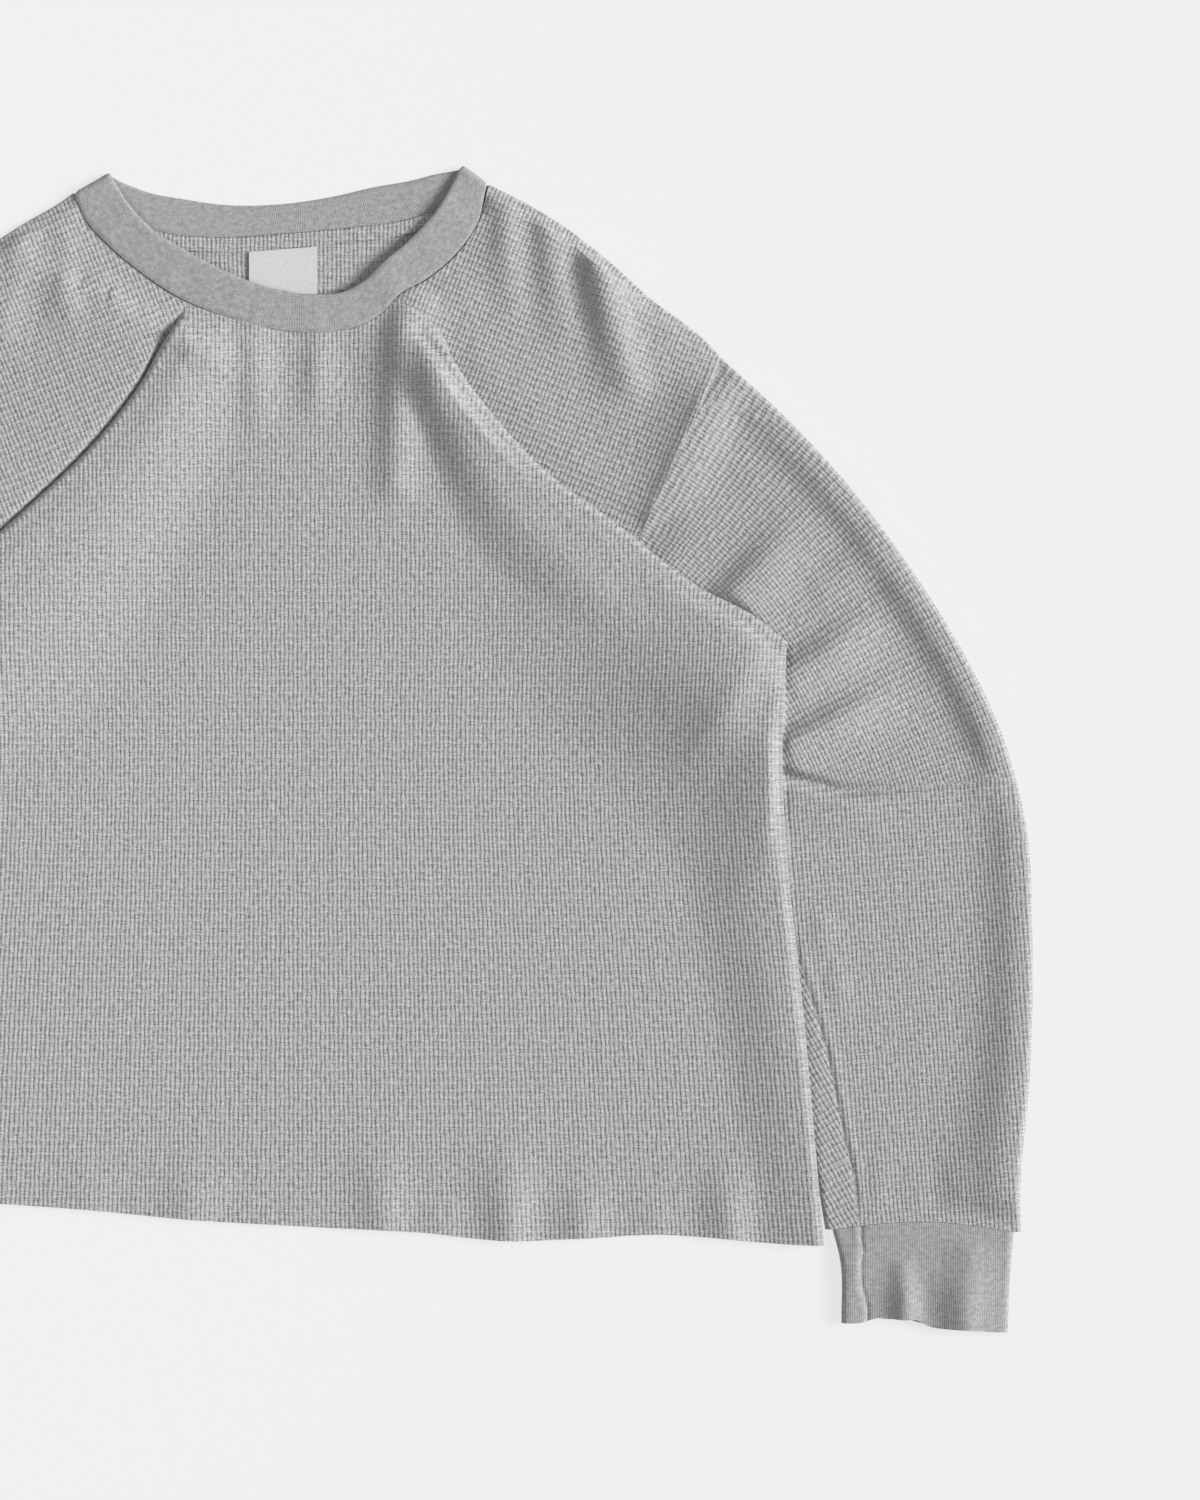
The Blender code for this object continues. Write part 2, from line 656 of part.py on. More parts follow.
def sleeve_top(half, x, y):
    """Height of a sleeve's upper face over the surface, from its plan place."""
    lift = half.lift(np.minimum(x, half.half_width(y)), y)
    places = np.stack([x, y], axis=-1)
    s, left = half.fold.nearest(places)
    inside = np.maximum(-left, 0)
    past = np.maximum(x - half.half_width(y) - WALL, 0) * (y < half.side.points[0, 1])
    past = np.maximum(past, np.maximum(left, 0) * (y >= half.side.points[0, 1]))
    covered = np.exp(-past / SLEEVE_EASE)
    flat = 2 * PAIR_OUTER
    under_fold = smooth(*FULL_ROOM_FROM_TO, inside - half.under(s))
    room = FOLD_CLEARANCE + (STACK_LIFT - FOLD_CLEARANCE) * under_fold
    fill = np.minimum(lift - TUCK_CLEARANCE, room)
    fill = np.maximum(fill, flat)
    free = smooth(*SLEEVE_FREE_FROM_TO, past)
    folds = (SLEEVE_LOFT + soft_ridges(x, y, SLEEVE_FOLDS)) * free
    return flat + (fill - flat) * covered + folds


def tube_rings(inner_line, outer_line, height_at, wall_thickness, top_steps):
    """Outer and inner rings of a flattened tube, one pair for each section of its length."""
    rings = []
    for inner_end, outer_end in zip(inner_line, outer_line):
        run = outer_end - inner_end
        width = np.linalg.norm(run)
        way = run / width
        across = {"low": np.linspace(0, 1, SLEEVE_BOTTOM_STEPS + 1)}
        across["top"] = np.linspace(1, 0, top_steps + 1)
        pair = []
        for inset in (0.0, wall_thickness):
            bulge = TUBE_EDGE - inset
            start, stop = inset + bulge, width - inset - bulge
            ring = []
            for t in across["low"]:
                x, y = inner_end + way * (start + (stop - start) * t)
                ring.append((x, y, inset))
            tall = height_at(np.array([inner_end + way * start, inner_end + way * stop]))
            ring += edge_points(inner_end + way * stop, way, bulge, inset, tall[1] - inset, False)
            flat = np.array([inner_end + way * (start + (stop - start) * t) for t in across["top"]])
            for (x, y), z in zip(flat, height_at(flat)):
                ring.append((x, y, z - inset))
            ring += edge_points(inner_end + way * start, -way, bulge, inset, tall[0] - inset, True)
            pair.append(ring)
        rings.append(pair)
    return rings


def edge_points(centre, way, bulge, low, high, downward):
    """Points round one folded edge of a flattened tube."""
    points = []
    for k in range(1, EDGE_STEPS):
        angle = math.pi * k / EDGE_STEPS - math.pi / 2
        angle = -angle if downward else angle
        x, y = centre + way * bulge * math.cos(angle)
        points.append((x, y, (low + high) / 2 + (high - low) / 2 * math.sin(angle)))
    return points


def make_tube(name, rings, hand):
    """A closed wall from the rings of a flattened tube, open at both ends."""
    count = len(rings[0][0])
    vertices = np.array([point for pair in rings for ring in pair for point in ring])
    vertices[:, 0] *= hand
    faces = []

    def index(section, layer, k):
        return (section * 2 + layer) * count + k % count

    last = len(rings) - 1
    for section in range(last):
        for k in range(count):
            for layer in (0, 1):
                face = [
                    index(section, layer, k),
                    index(section, layer, k + 1),
                    index(section + 1, layer, k + 1),
                    index(section + 1, layer, k),
                ]
                faces.append(face if layer else face[::-1])
    for section in (0, last):
        for k in range(count):
            face = [
                index(section, 0, k),
                index(section, 1, k),
                index(section, 1, k + 1),
                index(section, 0, k + 1),
            ]
            faces.append(face if section else face[::-1])
    if hand < 0:
        faces = [face[::-1] for face in faces]
    return make_object(name, vertices, [face[::-1] for face in faces])


def sleeve_lines(half):
    """Ends of each section of a sleeve, from the armhole to the cuff seam."""
    outer, inner = Curve(SLEEVE_OUTER), half.inner
    share = np.linspace(0, 1, SLEEVE_SECTIONS + 1)
    foot = half.fold.at(half.armhole_foot)
    foot = foot - half.fold.left_of(half.armhole_foot) * half.under(half.armhole_foot)
    inner_line = inner.at(share * inner.length)
    outer_line = outer.at(share * outer.length)
    shift = (1 - smooth(0, ARMHOLE_BLEND, share))[:, None]
    shoulder_end = half.shoulder.at(half.shoulder.length)
    along = unit(shoulder_end - foot)
    clear = np.array([along[1], -along[0]]) * SEAM_GAP * 2
    inner_line = inner_line + (foot - inner_line[0] + clear) * shift
    outer_line = outer_line + (shoulder_end + along * WALL - outer_line[0] + 3 * clear) * shift
    return inner_line, outer_line


def make_sleeve(name, hand):
    half = HALVES[hand]
    inner_line, outer_line = sleeve_lines(half)

    def height_at(places):
        return sleeve_top(half, places[:, 0], places[:, 1])

    rings = tube_rings(inner_line, outer_line, height_at, WALL, SLEEVE_TOP_STEPS)
    return make_tube(name, bow_end(rings, SLEEVE_END_BOW), hand)


def bow_end(rings, bow):
    """Move the last sections' middles back, so the end of the tube is bowed."""
    bent = []
    last = len(rings) - 1
    for section, pair in enumerate(rings):
        share = smooth(last - BOWED_SECTIONS, last, section)
        low, high = pair[0][0][0], pair[0][SLEEVE_BOTTOM_STEPS][0]
        moved = []
        for ring in pair:
            moved.append([
                (x, y + bow * share * math.sin(math.pi * min(max((x - low) / (high - low), 0), 1)), z)
                for x, y, z in ring
            ])
        bent.append(moved)
    return bent


def make_cuff(name, hand):
    outer, inner = Curve(CUFF_OUTER), Curve(CUFF_INNER)
    share = np.linspace(0, 1, CUFF_SECTIONS + 1)
    inner_line, outer_line = inner.at(share * inner.length), outer.at(share * outer.length)

    def height_at(places):
        x, y = places[:, 0], places[:, 1]
        start = smooth(*CUFF_FOLDS_FROM_TO, y)
        return 2 * RIB_WALL + CUFF_LOFT + soft_ridges(x, y, CUFF_FOLDS) * start

    rings = tube_rings(inner_line, outer_line, height_at, CUFF_WALL, SLEEVE_TOP_STEPS)
    bowed = []
    for section, pair in enumerate(rings):
        moved = []
        for ring in pair:
            places = []
            for x, y, z in ring:
                t = (x - inner_line[section][0]) / (outer_line[section][0] - inner_line[section][0])
                bow = SLEEVE_END_BOW * math.sin(math.pi * min(max(t, 0), 1)) * (1 - share[section])
                wave = sum(up * math.exp(-(((t - at) / w) ** 2)) for at, up, w in CUFF_EDGE_WAVES)
                places.append((x, y + bow + wave * share[section] ** 2, z))
            moved.append(places)
        bowed.append(moved)
    return make_tube(name, bowed, hand)


def band_stations():
    """Seam point, edge point and their heights all round the collar."""
    seam_front, edge_front = Curve(NECK_SEAM_FRONT), Curve(NECK_EDGE_FRONT)
    seam_back, edge_back = Curve(NECK_SEAM_BACK), Curve(NECK_EDGE_BACK)
    fold_height = BAND_SHOULDER - BAND_BACK
    radius = fold_height / 2
    inset = radius + RIB_WALL / 2
    stations = []
    shares = np.linspace(0, 1, BAND_FRONT_SECTIONS + 1)
    for t in shares:
        seam = seam_front.at(t * seam_front.length)
        edge = edge_front.at(t * edge_front.length)
        calm = smooth(0, SHOULDER_BLEND, t) * smooth(0, SHOULDER_BLEND, 1 - t)
        stations.append([
            seam, edge,
            BAND_SHOULDER + (BAND_SEAM_FRONT - BAND_SHOULDER) * calm,
            BAND_SHOULDER + (BAND_EDGE_FRONT - BAND_SHOULDER) * calm,
        ])
    stations = inset_ends(stations, inset)
    back = []
    for t in np.linspace(1, 0, BAND_BACK_SECTIONS + 1):
        back.append([
            seam_back.at(t * seam_back.length), edge_back.at(t * edge_back.length),
            BAND_BACK, BAND_BACK,
        ])
    back = inset_ends(back, inset, BAND_BACK_TUCK)
    turns = {}
    for hand, (front_end, back_end) in ((1, (stations[-1], back[0])), (-1, (stations[0], back[-1]))):
        line = unit(front_end[1] - front_end[0])
        outward = np.array([line[1], -line[0]]) * (1 if hand > 0 else -1)
        turn = []
        for k in range(1, BAND_TURN_SECTIONS):
            angle = math.pi * k / BAND_TURN_SECTIONS
            t = k / BAND_TURN_SECTIONS
            out = outward * radius * math.sin(angle)
            z = BAND_BACK + radius * (1 + math.cos(angle))
            turn.append([
                front_end[0] * (1 - t) + back_end[0] * t + out,
                front_end[1] * (1 - t) + back_end[1] * t + out,
                z, z,
            ])
        turns[hand] = turn
    return stations + turns[1] + back + turns[-1][::-1]


def inset_ends(stations, inset, narrower=0.0):
    """Draw both ends of a run of stations in, to leave room for the shoulder folds."""
    count = len(stations) - 1
    moved = []
    for k, (seam, edge, low, high) in enumerate(stations):
        share = min(k, count - k) / count
        pull = 1 - smooth(0, BAND_END_SHARE, share)
        end = stations[0] if k < count / 2 else stations[-1]
        line = unit(end[1] - end[0])
        inward = np.array([line[1], -line[0]])
        inward = inward * np.sign(inward @ (stations[count // 2][0] - end[0]))
        shift = inward * inset * pull
        clear = unit(edge - seam) * narrower * pull
        moved.append([seam + shift + clear, edge + shift, low, high])
    return moved


def make_collar():
    """The doubled rib band as one closed ring of sections."""
    stations = band_stations()
    count = len(stations)
    seams = np.array([(*seam, low) for seam, _, low, _ in stations])
    edges = np.array([(*edge, high) for _, edge, _, high in stations])
    across = unit(edges - seams)
    seams = seams + across * BAND_PANEL_GAP
    middles = (seams + edges) / 2
    ways = unit(np.roll(middles, -1, axis=0) - np.roll(middles, 1, axis=0))
    normals = unit(np.cross(ways, across))
    half = RIB_WALL / 2
    widths = np.linalg.norm(edges - seams, axis=1)
    rows = (
        (0.0, half), (0.5, half), (BAND_ROUNDS_AT, half), (1.0, 0.0),
        (BAND_ROUNDS_AT, -half), (0.5, -half), (0.0, -half),
    )
    rings = []
    for k in range(count):
        ring = []
        for share, out in rows:
            ring.append(seams[k] + across[k] * widths[k] * share + normals[k] * out)
        rings.append(ring)
    size = len(rows)
    vertices = np.array([point for ring in rings for point in ring])
    faces = []
    for k in range(count):
        following = (k + 1) % count
        for j in range(size):
            after = (j + 1) % size
            faces.append([
                k * size + j, following * size + j, following * size + after, k * size + after
            ])
    return make_object("collar", vertices, faces)


def make_strip(name, lower, upper, bottom, thickness):
    """A thin closed strip between two plan lines."""
    count = len(lower)
    vertices = []
    for z in (bottom, bottom + thickness):
        for line in (lower, upper):
            vertices += [(x, y, z) for x, y in line]

    def index(layer, line, k):
        return (layer * 2 + line) * count + k

    faces = []
    for k in range(count - 1):
        faces.append([index(1, 0, k), index(1, 0, k + 1), index(1, 1, k + 1), index(1, 1, k)])
        faces.append([index(0, 0, k), index(0, 1, k), index(0, 1, k + 1), index(0, 0, k + 1)])
        faces.append([index(0, 0, k), index(0, 0, k + 1), index(1, 0, k + 1), index(1, 0, k)])
        faces.append([index(0, 1, k), index(1, 1, k), index(1, 1, k + 1), index(0, 1, k + 1)])
    faces.append([index(0, 0, 0), index(1, 0, 0), index(1, 1, 0), index(0, 1, 0)])
    end = count - 1
    faces.append([index(0, 0, end), index(0, 1, end), index(1, 1, end), index(1, 0, end)])
    return make_object(name, np.array(vertices), faces)


def make_neck_tape():
    seam = Curve(NECK_SEAM_BACK)
    span = np.linspace(seam.where_x(-TAPE_HALF_SPAN), seam.where_x(TAPE_HALF_SPAN), TAPE_STEPS + 1)
    normal = seam.left_of(span)
    upper = seam.at(span) - normal * TAPE_BELOW_SEAM
    lower = upper - normal * TAPE_WIDTH
    return make_strip("neck_tape", lower, upper, TRIM_HEIGHT, TAPE_WALL)


def make_label():
    seam = Curve(NECK_SEAM_BACK)
    width, tall = LABEL_SIZE
    xs = LABEL_CENTRE_X + np.linspace(-width / 2, width / 2, LABEL_STEPS + 1)
    top = seam.at(seam.where_x(xs))[:, 1] - TAPE_WIDTH - LABEL_BELOW_TAPE
    upper = np.stack([xs, top], axis=-1)
    lower = upper - (0, tall)
    return make_strip("label", lower, upper, TRIM_HEIGHT, LABEL_WALL)


def main():
    for piece in list(bpy.data.objects):
        bpy.data.objects.remove(piece, do_unlink=True)
    front_sheet, back_sheet = make_pair_sheets()
    waffle = [
        wall("front", front_sheet, PAIR_OUTER, PAIR_INNER, keep_ease=True),
        wall("back", back_sheet, PAIR_OUTER, PAIR_INNER, keep_ease=False, flip=True),
        make_sleeve("sleeve_left", 1),
        make_sleeve("sleeve_right", -1),
        make_neck_tape(),
    ]
    rib = [make_collar(), make_cuff("cuff_left", 1), make_cuff("cuff_right", -1)]
    for piece in waffle:
        give_material(piece, "waffle_knit", HEATHER_GREY, 0.95)
    for piece in rib:
        give_material(piece, "rib_knit", RIB_GREY, 0.95)
    give_material(make_label(), "label_cloth", LABEL_WHITE, 0.8)


main()
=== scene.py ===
"""The looks of the thermal top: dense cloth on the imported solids' form, knit materials, light and camera.

Plan sizes are millimetres, as in the part: +X to the wearer's left, +Y to the neck, Z up from the surface.
"""

import math

import bpy
import numpy as np
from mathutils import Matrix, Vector
from mathutils.kdtree import KDTree


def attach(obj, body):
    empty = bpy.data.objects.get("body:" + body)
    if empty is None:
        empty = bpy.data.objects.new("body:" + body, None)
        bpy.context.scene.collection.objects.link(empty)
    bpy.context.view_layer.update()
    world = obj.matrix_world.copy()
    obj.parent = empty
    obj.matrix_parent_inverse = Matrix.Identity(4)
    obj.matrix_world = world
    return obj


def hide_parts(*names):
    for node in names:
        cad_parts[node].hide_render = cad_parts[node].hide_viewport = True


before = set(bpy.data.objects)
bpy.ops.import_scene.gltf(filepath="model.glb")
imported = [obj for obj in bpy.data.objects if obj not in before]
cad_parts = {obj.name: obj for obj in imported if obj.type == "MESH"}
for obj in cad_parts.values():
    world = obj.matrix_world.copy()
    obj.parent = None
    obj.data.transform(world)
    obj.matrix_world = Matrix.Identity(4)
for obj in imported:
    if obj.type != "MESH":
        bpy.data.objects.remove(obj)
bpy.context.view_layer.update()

MM = 0.001

# Cloth
WALL = 1.6  # thickness of the waffle knit
SEAM_GAP = 0.3  # air between two pieces that are sewn together
RIB_WALL = 2.2  # collar and cuffs are doubled rib
CUFF_WALL = 1.8
CUFF_LOFT = 0.8  # air between a cuff's two faces
TAPE_WALL = 1.2
LABEL_WALL = 1.0
PAIR_OUTER = WALL + SEAM_GAP / 2  # from the sheet midway between both panels to their outer faces
PAIR_INNER = SEAM_GAP / 2
FOLD_RADIUS = 2.2  # of that middle sheet, where both panels turn over

# Underarm folds: how deep the cloth is folded under, along the length of the fold
UNDER_START = 1.0
UNDER_PER_LENGTH = 0.12
UNDER_AT_UNDERARM = 2.0
TURN_STARTS = {-1: 0.0, 1: 10.0}  # along the fold
TURN_GROWS_OVER = {-1: 30.0, 1: 56.0}  # length over which the cloth comes to turn right over
LEAST_TURN = (0.01, 0.2)  # radians, at the neck and added over the first stretch
LEAST_TURN_OVER = 6.0
SHELF_MARGIN = 5.0  # the body stays level this far past the folded edge below it
SHELF_FALL = 46.0  # and comes down to the surface over this width
SHELF_WIDENS = (50.0, 200.0)  # along the fold
SHELF_MARGINS = (2.5, 2.0)  # of the lift: near the neck, and what comes to it further on
SHELF_FALLS = {-1: (52.0, 84.0), 1: (22.0, 52.0)}  # of the lift: near the neck, and further on
SHELF_SAG = 0.7
SHELF_SAG_FROM_TO = (60.0, 110.0)  # along the fold

# The body over the sleeves
SLEEVE_LIFT = 4.7
STACK_LIFT = 4 * FOLD_RADIUS
SIDE_RISE = 8.5  # the side edge stands this much higher, beside the sleeve
SIDE_RISE_FROM_TO = (-120.0, -40.0, 20.0, 62.0)  # in y: it grows, and ends
SIDE_RISE_START = -30.0  # across the sleeve's inner edge, where it begins
SIDE_RISE_WIDTH = 66.0
SIDE_RISE_LIMIT = 1.1  # share of that width
LIFT_ACROSS = (-44.0, -4.0)  # the lift grows over this width across the sleeve's inner edge
LIFT_WIDENS = (48.0, 24.0)  # at its two ends, above the elbow
LIFT_WIDENS_FROM_TO = (-75.0, 15.0)  # in y
STACK_LIFT_FROM_TO = (-50.0, 40.0)  # in y
TUCK_CLEARANCE = 0.9  # between a sleeve and what covers it
FOLD_CLEARANCE = 4.0  # highest that a sleeve reaches below the folded-under panels
SLEEVE_EASE = 15.0  # a sleeve comes down over this width beyond the body's side
FRONT_EASE = 1.2  # the front stands this much off the back

# Outlines, each a smooth curve through (x, y). The right half is the wearer's left, at +X.
NECK_SEAM_FRONT = (
    (-119, 311.5), (-111.5, 296), (-97.5, 280.5), (-80, 266), (-60, 253), (-26, 240),
    (0, 234), (22, 233.5), (42, 237), (54, 244), (64, 254.5), (79, 263), (91.5, 273),
    (100.5, 283), (108, 295), (114, 316),
)
NECK_EDGE_FRONT = (
    (-99, 323), (-84.5, 301), (-72, 289), (-57, 280), (-41.5, 271.5), (-23, 263),
    (-3, 257), (17, 254.5), (32, 256), (42, 261), (56, 274), (68, 284), (76, 292),
    (83, 300), (89, 309), (99, 327),
)
NECK_SEAM_BACK = (
    (-119, 311.5), (-97, 300), (-72, 290), (-39, 286.5), (-3, 288.5), (36, 292),
    (65, 296), (92, 305), (114, 316),
)
NECK_EDGE_BACK = (
    (-99, 323), (-82, 313.5), (-57, 308), (-32, 304.7), (2, 305.7), (29, 310),
    (49, 314.7), (70, 318.4), (99, 327),
)
FOLD_STARTS = {-1: -54.0, 1: 60.0}  # x on the front neck seam
FOLDS = {
    -1: ((57, 239), (69, 223), (80, 206), (103, 176), (146, 134), (190, 97), (235, 66), (281, 40)),
    1: ((74, 242), (85, 229), (109, 196), (143, 158), (187, 125), (231, 91), (260, 76), (281, 60)),
}
SHOULDERS = {
    -1: ((119, 311.5), (126.6, 306), (149, 293), (180, 271), (204.5, 248), (234, 226), (245, 215)),
    1: ((114, 316), (131, 307.5), (150, 296.5), (180, 274), (204.5, 252), (234, 229.5), (245, 218)),
}
SIDE = ((281.5, 60), (278.8, 5), (279.4, -23), (282.2, -67.5), (287.8, -118), (302.4, -277))
HEM = (
    (-303, -247), (-160, -254), (-104, -258), (-64, -262), (20, -267.2), (77, -270.2),
    (122, -274.7), (165, -273.5), (213, -271.3), (237, -272.7), (272, -275.8), (303, -277.5),
)
SLEEVE_OUTER = (
    (245, 218), (281, 184.5), (321.4, 139.7), (353.9, 94.9), (381.4, 50), (402, 5),
    (413.8, -39.5), (417.8, -106.7), (416.5, -180), (411, -250), (411.5, -270),
)
SLEEVE_INNER = (
    (189, 96), (222, 40), (254, -28), (270, -101), (285, -165), (296.4, -235), (301.9, -268.5),
)
SLEEVE_END_BOW = 5.0  # the cuff seam bows towards the shoulder
CUFF_SEAM_CLOSE = 0.55  # the cuff comes this much nearer to the sleeve than its solid
CUFF_OUTER = ((407.5, -270.7), (405, -300), (404, -326.25))
CUFF_INNER = ((306, -269.3), (310, -285), (311, -321))
CUFF_EDGE_WAVES = ((0.31, 4.0, 0.15), (0.20, 1.5, 0.05), (0.45, 2.4, 0.06))  # at, up, width

# Large soft folds of the cloth: a ridge from (x0, y0) to (x1, y1), its half-width and height
FRONT_FOLDS = (
    (65, 247, 61, 150, 10, 3.4),
    (-18, 238, -17, 190, 9, 1.6),
    (18, 234, 17, 195, 8, 1.2),
    (262, 10, 276, -40, 20, 1.0),
)
SHOULDER_FOLDS = (
    (176, 280, 192, 206, 9, 4.0),
    (150, 292, 158, 235, 9, 1.6),
    (121, 300, 126, 250, 8, 1.2),
    (236, 200, 206, 134, 9, 2.0),
)
CUFF_FOLDS = (
    (316, -285, 316, -322, 6, 1.6),
    (345, -296, 350, -324, 6, 2.0),
    (383, -285, 388, -326, 10, 2.0),
)

# Collar heights above the surface, at the middle of the rib
BAND_SEAM_FRONT = 4.5
BAND_EDGE_FRONT = 6.2
BAND_BACK = RIB_WALL / 2
BAND_BACK_TUCK = 3.4  # the back's band is narrower where the front's band covers its ends
SHOULDER_BLEND = 0.12  # share of the front over which the band comes down to its shoulder fold
BAND_SHOULDER = 4.6

# Neck tape and label
TAPE_WIDTH = 8.0
TAPE_HALF_SPAN = 82.0
TAPE_INSET = 0.2
TRIM_HEIGHT = WALL + 1.4 * SEAM_GAP  # underside of the tape and the label
LABEL_BELOW_TAPE = 0.5
LABEL_CENTRE_X = -1.6
LABEL_SIZE = (38.0, 36.0)

# Divisions of the meshes
FOLD_COLUMNS = 46  # from the neck to the armhole
COLUMN_CROWDING = 1.15
NEAR_ARMHOLE = 12.0  # the last stretch before the armhole, with even columns
NEAR_COLUMNS = 9
SHOULDER_CROWDING = 0.8
UNDERARM_COLUMNS = 34  # on to the underarm
NECK_COLUMNS = 66
SHELF_ROWS = 16
BODY_ROWS = 96
TURN_STEPS = 8
UNDER_STEPS = 4
SHOULDER_ROWS = 62
ROW_CROWDING = 1.3  # of the shoulder part's rows, towards the fold
RIM_STEPS = 3
BACK_NECK_ROWS = 14
SLEEVE_SECTIONS = 220
ELBOW_CROWDING = (1.8, 0.43, 0.12)  # more sections here: how many, at which share and how wide
SLEEVE_TOP_STEPS = 84
SLEEVE_BOTTOM_STEPS = 10
EDGE_STEPS = 8
CUFF_SECTIONS = 36
BAND_FRONT_SECTIONS = 260
BAND_BACK_SECTIONS = 150
BAND_TURN_SECTIONS = 12
CURVE_STEPS = 24

# Looks only
HEM_DEPTH = 21.0
STITCH_ROWS = (1.5, 0.7, 0, -0.7, -1.5, -4, -8)  # rows of the mesh about the hem's stitches
HEM_EDGE_ROWS = (9, 5, 2.2, 0.8, 0)
SLEEVE_GRAIN_LINE = (
    (236, 212), (279, 184), (321, 146), (354, 101), (381.4, 52), (402, 5),
    (413.8, -39.5), (417.8, -106.7), (416.5, -180), (411, -250), (411.5, -270),
)
SHOULDER_TURN = math.radians(21.5)  # the shoulder part's grain, against the body's
SLEEVE_GRAIN_STRETCH = (1.07, 0.87)  # across and along the upper sleeve
LOWER_SLEEVE_LEAN = math.radians(4.5)
WEDGE_LEAN = math.radians(29)  # of the grain inside the underarm seam
BAND_SEAM_TIGHT = 0.28
BAND_WIDTH = 20
BAND_TILT = (1.3, 0.6)  # the right of the front band rises this much, at its seam and its edge
STITCH_GROOVE = (0.22, 0.9)  # depth and half-width
HEM_RAISE = 0.18
TURN_CENTRE = (66, 243)  # of the shoulder part's grain
ELBOW = ((255, -8), (279, -14), (295, -19), (311, -23), (325, -23), (400, -17))
ELBOW_DEPTHS = ((270, 5.8), (292, 5.6), (318, 4.4), (345, 2.2), (400, 0.6))  # at x
ELBOW_LIP = ((270, 2.0), (330, 1.6), (400, 0))
CUFF_SEAM = (
    (322, -266), (322, -274.7), (323, -282.5), (321.8, -291), (322.7, -302.7),
    (325.4, -312.5), (325.6, -322),
)
UNDERARM_SEAM = (
    (280, -90), (285, -112), (291, -129), (303, -168), (313, -219), (318, -241), (321, -270),
)
RIB_PITCH = 2.41  # mm between ribs of the waffle
PIT_PITCH = 3.97  # mm between pits along a rib
FINE_RIB_PITCH = 1.25
RIB_DEPTH = 0.27  # mm, between ribs
BAR_DEPTH = 0.35  # between the bars across them
PIT_DEPTH = 0.05
FLECK_HEIGHT = 0.2
WAFFLE_TONE = 0.83  # share of the light heather before the painted shade in the pits and between the ribs darkens it
RIB_TONE = 0.56
STITCH_PITCH = 0.85
WEAVE_PITCHES = (0.9, 0.7)  # of the label
DARK_HEATHER = (0.10, 0.10, 0.105, 1)
LIGHT_HEATHER = (0.535, 0.535, 0.54, 1)
LIGHT_RIB = (0.56, 0.56, 0.565, 1)

# Finer folds: from (x0, y0), where it is highest, to (x1, y1), where it has faded; the
# half-widths on the left and on the right of that way; and the height
FRONT_CREASES = (
    (66, 250, 61, 135, 14, 10, 2.6),
    (-17, 240, -15, 165, 12, 7, 1.6),
    (19, 236, 16, 180, 9, 7, 1.5),
    (-36, 244, -40, 196, 6, 6, 0.8),
    (44, 240, 43, 205, 6, 6, 0.7),
    (88, 223, 148, 145, 5, 12, 2.2),
    (88, 223, 150, 143, 5, 27, 4.4),
    (256, 50, 213, -26, 16, 46, 6.6),
    (272, -6, 264, -80, 6, 34, 4.6),
    (276, -80, 284, -200, 14, 16, 1.6),
    (-280, 62, -274, -70, 105, 6, 2.6),
    (268, 44, 205, -25, 10, 10, 0.8),
    (272, -62, 236, -96, 8, 10, 0.8),
    (178, 118, 140, 84, 16, 14, 0.8),
    (-54, -262, -50, -225, 12, 14, 2.0),
    (55, -270, 52, -215, 12, 11, 2.6),
    (88, -272, 86, -245, 9, 9, 1.0),
    (125, -275, 124, -215, 12, 11, 4.0),
    (167, -275, 165, -235, 11, 9, 3.0),
    (249, -275, 247, -220, 11, 10, 3.6),
    (206, -273, 205, -240, 9, 9, 0.9),
    (-110, -258, -112, -225, 10, 10, 0.9),
    (-180, -255, -182, -220, 11, 11, 1.2),
)
SHOULDER_CREASES = {
    1: (
        (169, 296, 186, 184, 16, 7, 6.4),
        (145, 304, 151, 222, 9, 7, 3.4),
        (121, 312, 126, 244, 8, 7, 3.2),
        (104, 296, 110, 262, 6, 5, 0.9),
        (86, 266, 120, 236, 8, 8, 0.8),
        (214, 244, 205, 200, 9, 9, 1.0),
    ),
    -1: (
        (124, 262, 114, 228, 7, 5, 1.8),
        (150, 284, 132, 246, 9, 9, 1.4),
        (104, 262, 86, 236, 8, 8, 1.3),
        (92, 284, 78, 262, 6, 6, 0.8),
        (176, 262, 150, 214, 12, 12, 1.2),
        (212, 236, 190, 176, 12, 12, 1.4),
    ),
}
SLEEVE_CREASES = (
    (246, 82, 300, 138, 9, 18, 6.2),
    (284, 42, 340, 78, 9, 15, 6.8),
    (284, 4, 352, 38, 8, 13, 7.2),
    (302, 92, 350, 124, 9, 10, 1.8),
    (286, -31, 350, -36, 5, 10, 2.0),
    (388, -18, 402, -44, 8, 8, 1.0),
    (300, 118, 330, 90, 9, 9, 0.8),
    (262, 150, 300, 130, 9, 9, 0.8),
    (300, -96, 304, -122, 6, 6, 0.9),
    (308, -128, 312, -150, 6, 6, 0.9),
    (330, -262, 338, -215, 7, 7, 0.9),
    (352, -262, 352, -225, 8, 8, 0.8),
    (377, -264, 372, -215, 8, 8, 1.1),
)
CUFF_CREASES = (
    (345, -325, 346, -294, 7, 6, 3.4),
    (379, -325, 377, -286, 11, 9, 4.8),
    (398, -322, 398, -290, 7, 7, 0.9),
)
ARMHOLE = (198.6, 116, 243, 215)
ARMHOLE_CREST = 4.4
ARMHOLE_BLEND = 0.15  # share of the sleeve over which its edges come in to the armhole
ARMHOLE_GAP = 0.02
ARMHOLE_CREST_WIDTHS = (20.0, 17.0)  # on the shoulder part, on the sleeve
EDGE_ROLL_INSET = 8.0
